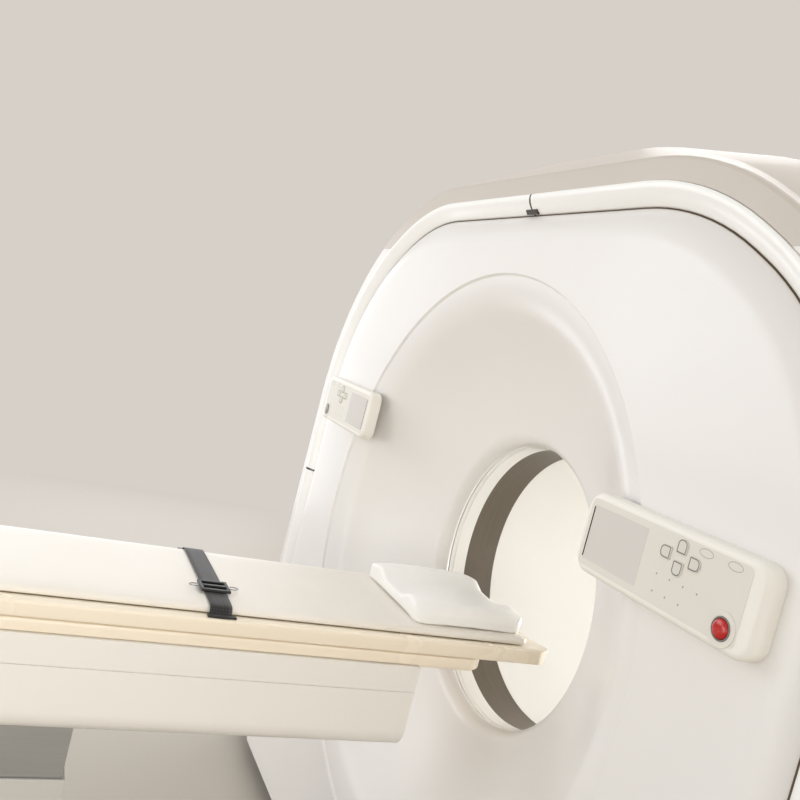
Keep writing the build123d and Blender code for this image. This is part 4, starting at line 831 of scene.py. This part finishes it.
# key: turn of its pointed end from the panel's outer side, and distance from the middle
arrow_keys = {
    "outer": (0, 0.032), "down": (-90, 0.0175), "inner": (180, 0.032), "up": (90, 0.0175),
}
for side, side_name in SIDES:
    for key_name, (turn, spread) in arrow_keys.items():
        bm = bmesh.new()
        flat_plate(bm, Matrix.Diagonal((KEY_LENGTH, KEY_WIDTH, 1.0, 1.0)))
        for pointed, corner in ((True, KEY_POINT), (False, KEY_HEEL)):
            ends = [
                v for v in bm.verts if (v.co.x > 0) == pointed
                and abs(v.co.x) + abs(v.co.y) > (KEY_LENGTH + KEY_WIDTH) / 2 - 1e-6
            ]
            round_off(bm, ends, corner, 6, "VERTICES")
        bmesh.ops.transform(bm, verts=bm.verts, matrix=(
            Matrix.Translation((ARROW_X, KEY_TOP, ARROW_Z))
            @ Matrix.Rotation(math.radians(-turn), 4, "Y") @ facing_front(spread, 0, 0)
        ))
        draw_out(bm, bm.faces[:][0], (0, KEY_FOOT - KEY_TOP, 0))
        top = at_depth(bm.faces, KEY_TOP)[0]
        round_off(bm, list(top.edges), KEY_EDGE, 2)
        top = at_depth(bm.faces, KEY_TOP)[0]
        inset(bm, top, KEY_MARGIN)
        # the dark ring: print and painted shade along the key's edge
        for face in inset(bm, top, KEY_OUTLINE):
            face.material_index = 1
        mirror_to(bm, side)
        node = f"key_{key_name}_{side_name}"
        make_piece(bm, f"{node}_cap", node, [key_soft, edge_print_and_shade_ink], [node], smooth=40.0)

# Printed marks on the fascias. Screen-printed ovals for two further touch keys, two rows of
# small lamp marks, and the dark slot at the display's inner end.
TOUCH_KEYS = ((0.855, 1.3685), (0.913, 1.3685))
TOUCH_KEY_HALF = (0.0145, 0.0066)
TOUCH_KEY_LINE = 0.0010
LAMP_MARK_RADIUS = 0.0018
LAMP_MARK_X, LAMP_MARK_PITCH = 0.768, 0.030
LAMP_MARK_ROWS = ((1.307, 4), (1.279, 3))
PRINT_Y = PANEL_FACE - 0.0002
SLOT_X, SLOT_Y = 0.5815, PANEL_FACE - 0.0003
SLOT_SIZE = (0.0028, 0.090)
SLOT_THICKNESS = 0.0002
pale_ink = satin_paint("ink_screen_printed_pale_grey", "#B2ADA3", "#A6A197", 0.5, peel=(1.0, 0.01))
marks = bmesh.new()
slots = bmesh.new()
for side, side_name in SIDES:
    for x, z in TOUCH_KEYS:
        oval = bmesh.ops.create_circle(
            marks, segments=40, radius=1.0, cap_ends=True,
            matrix=facing_front(side * x, PRINT_Y, z, *TOUCH_KEY_HALF),
        )["verts"]
        face = oval[0].link_faces[0]
        inset(marks, face, TOUCH_KEY_LINE)
        bmesh.ops.delete(marks, geom=[face], context="FACES")
    for z, count in LAMP_MARK_ROWS:
        for step in range(count):
            bmesh.ops.create_circle(
                marks, segments=16, radius=LAMP_MARK_RADIUS, cap_ends=True,
                matrix=facing_front(side * (LAMP_MARK_X + LAMP_MARK_PITCH * step), PRINT_Y, z),
            )
    flat_plate(slots, facing_front(side * SLOT_X, SLOT_Y, PANEL_Z, *SLOT_SIZE))
make_piece(marks, "fascia_marks", "gantry", pale_ink)
make_piece(slots, "display_slots", "gantry", laser_glass, wall=SLOT_THICKNESS)


# Machinery inside the gantries. Powder-coated weldments, a machined aluminium drum in its
# bearing, brass slip ring, boxed units and the belt drive: all behind closed covers.
def bare_metal(name, colour, dark, roughness, stretch=(4.0, 4.0, 240.0)):
    """Machined or brushed metal: fine lines along the tool's path, drifting in gloss."""
    made, tree, place = new_material(name)
    drawn = add_node(tree, "Mapping", inputs={"Vector": place, "Scale": stretch})
    lines = add_node(tree, "TexNoise", inputs={
        "Vector": drawn.outputs[0], "Scale": 2.0, "Detail": 4.0,
    }).outputs["Fac"]
    gloss = add_node(tree, "MapRange", inputs={
        "Value": lines, "To Min": roughness * 0.75, "To Max": roughness * 1.3,
    })
    shade(tree, lines, dark, colour, lines, 0.25, 0.00005, {
        "Roughness": gloss.outputs["Result"], "Metallic": 1.0,
    })
    return made


frame_coat = satin_paint("steel_powder_coated_grey", "#6E7173", "#626567", 0.5, peel=(2.0, 0.1))
unit_coat = satin_paint(
    "aluminium_powder_coated_grey", "#A9ADAF", "#9DA1A3", 0.48, peel=(2.0, 0.08),
)
black_coat = satin_paint("aluminium_enamelled_black", "#262728", "#1C1D1E", 0.4, peel=(2.0, 0.06))
ground_steel = bare_metal("steel_ground", "#C2C4C5", "#A9ABAC", 0.28)
turned_aluminium = bare_metal("aluminium_machined", "#D0D2D3", "#BABCBD", 0.35)
drawn_brass = bare_metal("brass_turned", "#C9A25A", "#B48C45", 0.3)
crystal_glass = satin_paint(
    "lutetium_crystal_polished", "#D8E0DC", "#C8D2CE", 0.1, peel=(20.0, 0.01), coat=0.4,
)
belt_rubber = satin_paint(
    "polyurethane_belt_moulded_black", "#1E1E1E", "#151515", 0.6, peel=(1.5, 0.08),
)
dress(frame_coat, "base_frame", "stator_frame", "pet_carriage", "table_base")
dress(
    unit_coat, "x_ray_tube", "beam_collimator", "high_voltage_generator", "tube_cooling_unit",
    "ct_detector", "pet_detector_frame",
)
dress(black_coat, "brush_block", "drive_motor")
dress(ground_steel, "main_bearing", "drive_pulley", "pet_floor_rails")
dress(turned_aluminium, "rotor_drum")
dress(drawn_brass, "slip_ring")
dress(crystal_glass, "pet_crystal_modules")
dress(belt_rubber, "drive_belt")

# Lift column and casing. Three telescoping covers of sheet aluminium, the middle one
# moving half as far; above them a moulded casing with a groove round the deck beam.
SHEET_EDGE = 0.0015
shroud_coat = satin_paint(
    "aluminium_powder_coated_warm_grey", "#CBC8C2", "#C0BDB6", 0.45, peel=(2.0, 0.08),
)
casing_abs = satin_paint(
    "abs_formed_satin_white", "#F1EDE6", "#EBE6DE", 0.36, peel=(4.0, 0.05), coat=0.1,
)
deck_alloy = bare_metal(
    "aluminium_extruded_anodised", "#C5C6C6", "#B3B4B4", 0.34, stretch=(240.0, 3.0, 240.0),
)
for node, name, body, finish, slot in (
    ("table_casing", "casing_skin", "table_deck", casing_abs, "table_white"),
    ("lift_outer_shroud", "outer_shroud_skin", "gantry", shroud_coat, "shroud_grey"),
    ("lift_middle_shroud", "middle_shroud_skin", "lift_stage", shroud_coat, "shroud_grey"),
):
    bm = bmesh.new()
    bm.from_mesh(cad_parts[node].data)
    bmesh.ops.remove_doubles(bm, verts=bm.verts, dist=1e-5)
    bmesh.ops.dissolve_limit(bm, angle_limit=math.radians(1.0), verts=bm.verts, edges=bm.edges)
    make_piece(bm, name, body, finish, [node], smooth=30.0, round_over=SHEET_EDGE)
dress(deck_alloy, "table_deck")

# Tabletop and its carriage. Long shallow trays of carbon fibre over foam with a cream
# gelcoat, moulded in one piece each; the tabletop slides on the carriage below it.
TOP_HALF = 0.215
TOP_Z = 0.948
TOP_BOTTOM = 0.916
TOP_LENGTH = 2.420
HEAD_Y = -0.082
TOP_CORNER = 0.060
TRAY_EDGE = 0.0016
HOLLOW_HALF = 0.195
HOLLOW_DEPTH = 0.018
HOLLOW_STEPS = 24
# half width and height of the runner under each tray, and of the carriage's groove
TOP_RUNNER = (0.170, 0.905)
CARRIAGE_RUNNER = (0.150, 0.862)
CARRIAGE_GROOVE = (0.1703, 0.9047)
CARRIAGE_TOP = 0.9157
CARRIAGE_BOTTOM = 0.890
CARRIAGE_LEAD = 0.175
# the rolled side edge: how far in from the side, and how far from the top or underside
ROLL = ((0.006, 0.0), (0.0015, 0.0015), (0.0, 0.006))
gelcoat = satin_paint(
    "carbon_fibre_gelcoated_cream", "#F7EBD6", "#F1E2CA", 0.26, peel=(7.0, 0.04), coat=0.25,
)


def hollow_line(half, steps, lift=0.0):
    """Points of the tabletop's hollow, or of a line lifted off it, from the middle out."""
    across = [half * k / steps for k in range(steps + 1)]
    return [(x, TOP_Z - HOLLOW_DEPTH * (1 - (x / HOLLOW_HALF) ** 2) + lift) for x in across]


def rolled_side(low, high):
    """Points of a tray's section up its rolled side edge."""
    return [
        *[(TOP_HALF - inward, low + step) for inward, step in ROLL],
        *[(TOP_HALF - inward, high - step) for inward, step in reversed(ROLL)],
    ]


def drawn_section(right, head_y, length):
    """Solid of a section drawn along the table; right is its half from x 0 or more."""
    bm = bmesh.new()
    closed = right + [(-x, z) for x, z in reversed(right) if x > 0]
    face = bm.faces.new([bm.verts.new((x, head_y, z)) for x, z in closed])
    draw_out(bm, face, (0, -length, 0))
    bmesh.ops.recalc_face_normals(bm, faces=bm.faces)
    return bm


def mesh_as_modified(thing):
    """New mesh of an object with its modifiers applied."""
    return bpy.data.meshes.new_from_object(
        thing.evaluated_get(bpy.context.evaluated_depsgraph_get())
    )


def long_tray(name, body, replaces, right, head_y):
    """Tray drawn along the table, with its corners rounded off in plan."""
    tray = mesh_object(name, drawn_section(right, head_y, TOP_LENGTH))
    bm = bmesh.new()
    plan = flat_plate(bm, (
        Matrix.Translation((0, head_y - TOP_LENGTH / 2, 0.5))
        @ Matrix.Diagonal((2 * TOP_HALF + 2e-5, TOP_LENGTH + 2e-5, 1.0, 1.0))
    ))
    round_off(bm, plan, TOP_CORNER, 16, "VERTICES")
    draw_out(bm, bm.faces[:][0], (0, 0, 1))
    bmesh.ops.recalc_face_normals(bm, faces=bm.faces)
    cutter = mesh_object("plan", bm)
    common = tray.modifiers.new("plan", "BOOLEAN")
    common.operation, common.object, common.solver = "INTERSECT", cutter, "EXACT"
    shaped = mesh_as_modified(tray)
    for used in (tray, cutter):
        bpy.data.objects.remove(used)
    bm = bmesh.new()
    bm.from_mesh(shaped)
    bpy.data.meshes.remove(shaped)
    make_piece(bm, name, body, gelcoat, replaces, smooth=25.0, round_over=TRAY_EDGE)


long_tray(
    "tabletop_skin", "pallet", ["tabletop"],
    [
        TOP_RUNNER, (TOP_RUNNER[0], TOP_BOTTOM), *rolled_side(TOP_BOTTOM, TOP_Z),
        *reversed(hollow_line(HOLLOW_HALF, HOLLOW_STEPS)),
    ],
    HEAD_Y,
)
long_tray(
    "carriage_skin", "table_carriage", ["table_carriage"],
    [
        CARRIAGE_RUNNER, (CARRIAGE_RUNNER[0], CARRIAGE_BOTTOM),
        *rolled_side(CARRIAGE_BOTTOM, CARRIAGE_TOP), (CARRIAGE_GROOVE[0], CARRIAGE_TOP),
        CARRIAGE_GROOVE,
    ],
    HEAD_Y - CARRIAGE_LEAD,
)

# Mattress and head cushion. Soft foam in welded covers of coated fabric, laid loose in
# the tabletop's hollow; each is blown up a little, as foam fills its cover.
CLOTH_FRAMES = 20
PAD_PRESSURE = 4.0
MATTRESS_HALF = 0.184
MATTRESS_TOP = 0.9605
MATTRESS_HEAD = -0.144
MATTRESS_LENGTH = 2.296
CUSHION_HALF = 0.160
CUSHION_BASE = 0.9650
CUSHION_TOP = 1.0040
CUSHION_NEAR = -0.148
CUSHION_LENGTH = 0.288


def coated_fabric(name, colour, dark, roughness, grain_mm, sheen=0.1):
    """Coated upholstery fabric: pebbled grain, slow creases, faint handling marks."""
    made, tree, place = new_material(name)
    grain = add_node(tree, "TexVoronoi", inputs={"Vector": place, "Scale": 1000.0 / grain_mm})
    folds = add_node(tree, "TexNoise", inputs={
        "Vector": place, "Scale": 14.0, "Detail": 3.0, "Distortion": 0.8,
    })
    marks = add_node(tree, "TexNoise", inputs={"Vector": place, "Scale": 5.0, "Detail": 5.0})
    pebble = add_node(tree, "Bump", inputs={
        "Height": grain.outputs["Distance"], "Strength": 0.4, "Distance": 0.00015,
    })
    shade(
        tree, marks.outputs["Fac"], dark, colour, folds.outputs["Fac"], 0.12, 0.004,
        {"Roughness": roughness, "Sheen Weight": sheen, "Sheen Roughness": 0.4},
        under=pebble.outputs["Normal"],
    )
    return made


def blown_pad(name, node, finish, right, head_y, length, corner, voxel, cap):
    """Foam pad: a section drawn along the table, remeshed and blown up as cloth.

    No point moves further than the cap.
    """
    bm = drawn_section(right, head_y, length)
    reach = max(x for x, z in right)
    ends = at_depth(bm.edges, head_y) + at_depth(bm.edges, head_y - length)
    upright = [e for e in ends if all(abs(abs(v.co.x) - reach) < 1e-6 for v in e.verts)]
    round_off(bm, upright, corner, 5)
    pad = mesh_object(name, bm)
    drawn = pad.data
    remesh = pad.modifiers.new("remesh", "REMESH")
    remesh.mode, remesh.voxel_size = "VOXEL", voxel
    fine = mesh_as_modified(pad)
    pad.modifiers.clear()
    pad.data = fine
    bpy.data.meshes.remove(drawn)
    rest = [v.co.copy() for v in fine.vertices]
    cloth = pad.modifiers.new("cloth", "CLOTH")
    cloth.settings.use_pressure = True
    cloth.settings.uniform_pressure_force = PAD_PRESSURE
    cloth.settings.effector_weights.gravity = 0.0
    cloth.settings.quality = 5
    cloth.point_cache.frame_start, cloth.point_cache.frame_end = 1, CLOTH_FRAMES
    scene = bpy.context.scene
    for number in range(1, CLOTH_FRAMES + 1):
        scene.frame_set(number)
    blown = mesh_as_modified(pad)
    pad.modifiers.clear()
    for vert, start in zip(blown.vertices, rest):
        moved = vert.co - start
        if moved.length > cap:
            vert.co = start + moved.normalized() * cap
    pad.data = blown
    bpy.data.meshes.remove(fine)
    scene.frame_set(1)
    pad.data.materials.clear()
    pad.data.materials.append(finish)
    pad.data.shade_smooth()
    soft = pad.modifiers.new("soften", "SMOOTH")
    soft.factor, soft.iterations = 0.5, 4
    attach(pad, "pallet")
    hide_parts(node)


pad_vinyl = coated_fabric("polyurethane_coated_fabric_cream", "#EFE9DF", "#E6DED1", 0.42, 2.2)
cushion_vinyl = coated_fabric(
    "vinyl_welded_gloss_white", "#F8F6F2", "#F1EEE8", 0.32, 3.0, sheen=0.0,
)
blown_pad(
    "mattress_pad", "mattress", pad_vinyl,
    [
        *hollow_line(MATTRESS_HALF, 12, 0.0014), (MATTRESS_HALF, 0.9500),
        (MATTRESS_HALF - 0.003, 0.9575), (MATTRESS_HALF - 0.010, MATTRESS_TOP),
        (0.0, MATTRESS_TOP),
    ],
    MATTRESS_HEAD, MATTRESS_LENGTH, corner=0.020, voxel=0.0060, cap=0.0020,
)
blown_pad(
    "head_pad", "head_cushion", cushion_vinyl,
    [
        (0.0, CUSHION_BASE), (CUSHION_HALF, CUSHION_BASE), (CUSHION_HALF, CUSHION_BASE + 0.022),
        (CUSHION_HALF - 0.020, CUSHION_TOP), (CUSHION_HALF - 0.070, CUSHION_TOP),
        (CUSHION_HALF - 0.110, CUSHION_TOP - 0.017), (0.0, CUSHION_TOP - 0.019),
    ],
    CUSHION_NEAR, CUSHION_LENGTH, corner=0.025, voxel=0.0050, cap=0.0050,
)

# Restraint strap. Black polyester webbing 45 mm wide, woven flat, laid over the mattress
# and clipped to the tabletop's lip; a plastic slide joins its two halves.
STRAP_Y = -0.877
STRAP_WIDTH = 0.045
STRAP_HEIGHT = 0.0018
webbing, tree, place = new_material("polyester_woven_black")
# yarns of 1.5 mm are drawn 3 mm apart, so that the render shows them
warp = add_node(tree, "TexWave", {"bands_direction": "Y", "wave_profile": "SIN"}, {
    "Vector": place, "Scale": 52.0, "Distortion": 0.4,
})
weft = add_node(tree, "TexWave", {"bands_direction": "X", "wave_profile": "SIN"}, {
    "Vector": place, "Scale": 80.0, "Distortion": 0.6,
})
woven = add_node(tree, "Math", {"operation": "MULTIPLY"}, {
    0: warp.outputs["Fac"], 1: weft.outputs["Fac"],
}).outputs[0]
shade(tree, woven, "#1B1A1A", "#3A3837", woven, 0.6, 0.0004, {
    "Roughness": 0.62, "Sheen Weight": 0.3, "Sheen Roughness": 0.4,
})
# right half of the strap's line over the mattress, from the lip to the middle
strap_line = [
    (0.2090, 0.9484), (0.1990, 0.9486), (0.1915, 0.9500), (0.1885, 0.9540), (0.1845, 0.9610),
    (0.1760, 0.9640), (0.1500, 0.9652), (0.1000, 0.9656), (0.0500, 0.9657),
]
bm = bmesh.new()
line = [(x, z) for x, z in strap_line] + [(-x, z) for x, z in reversed(strap_line)]
verts = [bm.verts.new((x, STRAP_Y - STRAP_WIDTH / 2, z)) for x, z in line]
edges = [bm.edges.new(pair) for pair in zip(verts, verts[1:])]
bmesh.ops.extrude_edge_only(bm, edges=edges)
bmesh.ops.translate(bm, verts=[v for v in bm.verts if v not in verts], vec=(0, STRAP_WIDTH, 0))
strap = make_piece(
    bm, "strap_webbing", "pallet", webbing, ["restraint_strap"], smooth=60.0,
)
curve = strap.modifiers.new("curve", "SUBSURF")
curve.levels = curve.render_levels = 2
thick = strap.modifiers.new("thickness", "SOLIDIFY")
thick.thickness, thick.offset = STRAP_HEIGHT, 0.0

# Strap hardware. An injection-moulded slide with a middle bar, two bent-wire pull loops,
# and a small moulded clip at each lip.
SLIDE_X = 0.090
SLIDE_Z = 0.9672
BAR_HEIGHT, BAR_EDGE, BAR_LIFT = 0.0062, 0.0016, 0.0028
# middle across and along the table, length and width of each bar of the slide
slide_bars = (
    (-0.024, 0.0, 0.009, 0.062), (0.024, 0.0, 0.009, 0.062), (0.0, 0.0, 0.009, 0.056),
    (0.0, -0.0275, 0.050, 0.007), (0.0, 0.0275, 0.050, 0.007),
)
CLIP_X, CLIP_Z = 0.2020, 0.9508
CLIP_SIZE, CLIP_EDGE = (0.0135, 0.058, 0.0040), 0.0012
LOOP_Y, LOOP_LIFT = 0.040, 0.003
LOOP_RADIUS, LOOP_WIRE, LOOP_STRETCH = 0.0075, 0.0012, 1.5
nylon_black = satin_paint("nylon_moulded_black", "#2A2A2B", "#1E1E1F", 0.38, peel=(1.5, 0.05))
loop_wire = bare_metal("stainless_wire_drawn", "#B9BABB", "#9C9D9E", 0.3)
bm = bmesh.new()
for x, y, length, width in slide_bars:
    bar_place = (SLIDE_X + x, STRAP_Y + y, SLIDE_Z + BAR_LIFT)
    rounded_block(bm, bar_place, (length, width, BAR_HEIGHT), BAR_EDGE)
for side, side_name in SIDES:
    rounded_block(bm, (side * CLIP_X, STRAP_Y, CLIP_Z), CLIP_SIZE, CLIP_EDGE)
make_piece(
    bm, "strap_slide", "pallet", nylon_black, ["strap_hardware"], smooth=50.0,
)
bm = bmesh.new()
for side, side_name in SIDES:
    loop_y, loop_z = STRAP_Y + side * LOOP_Y, SLIDE_Z + LOOP_LIFT
    wire = bmesh.ops.create_circle(
        bm, segments=8, radius=LOOP_WIRE,
        matrix=facing_front(SLIDE_X + LOOP_RADIUS, loop_y, loop_z),
    )["verts"]
    full_turn(bm, [*wire, *edges_of(wire)], (SLIDE_X, loop_y, loop_z), 32, (0, 0, 1))
    around = [v for v in bm.verts if (v.co.y - STRAP_Y) * side > 0]
    bmesh.ops.scale(
        bm, vec=(1.0, LOOP_STRETCH, 1.0), verts=around, space=Matrix.Translation((0, -loop_y, 0)),
    )
make_piece(bm, "strap_pull_loops", "pallet", loop_wire, smooth=60.0)
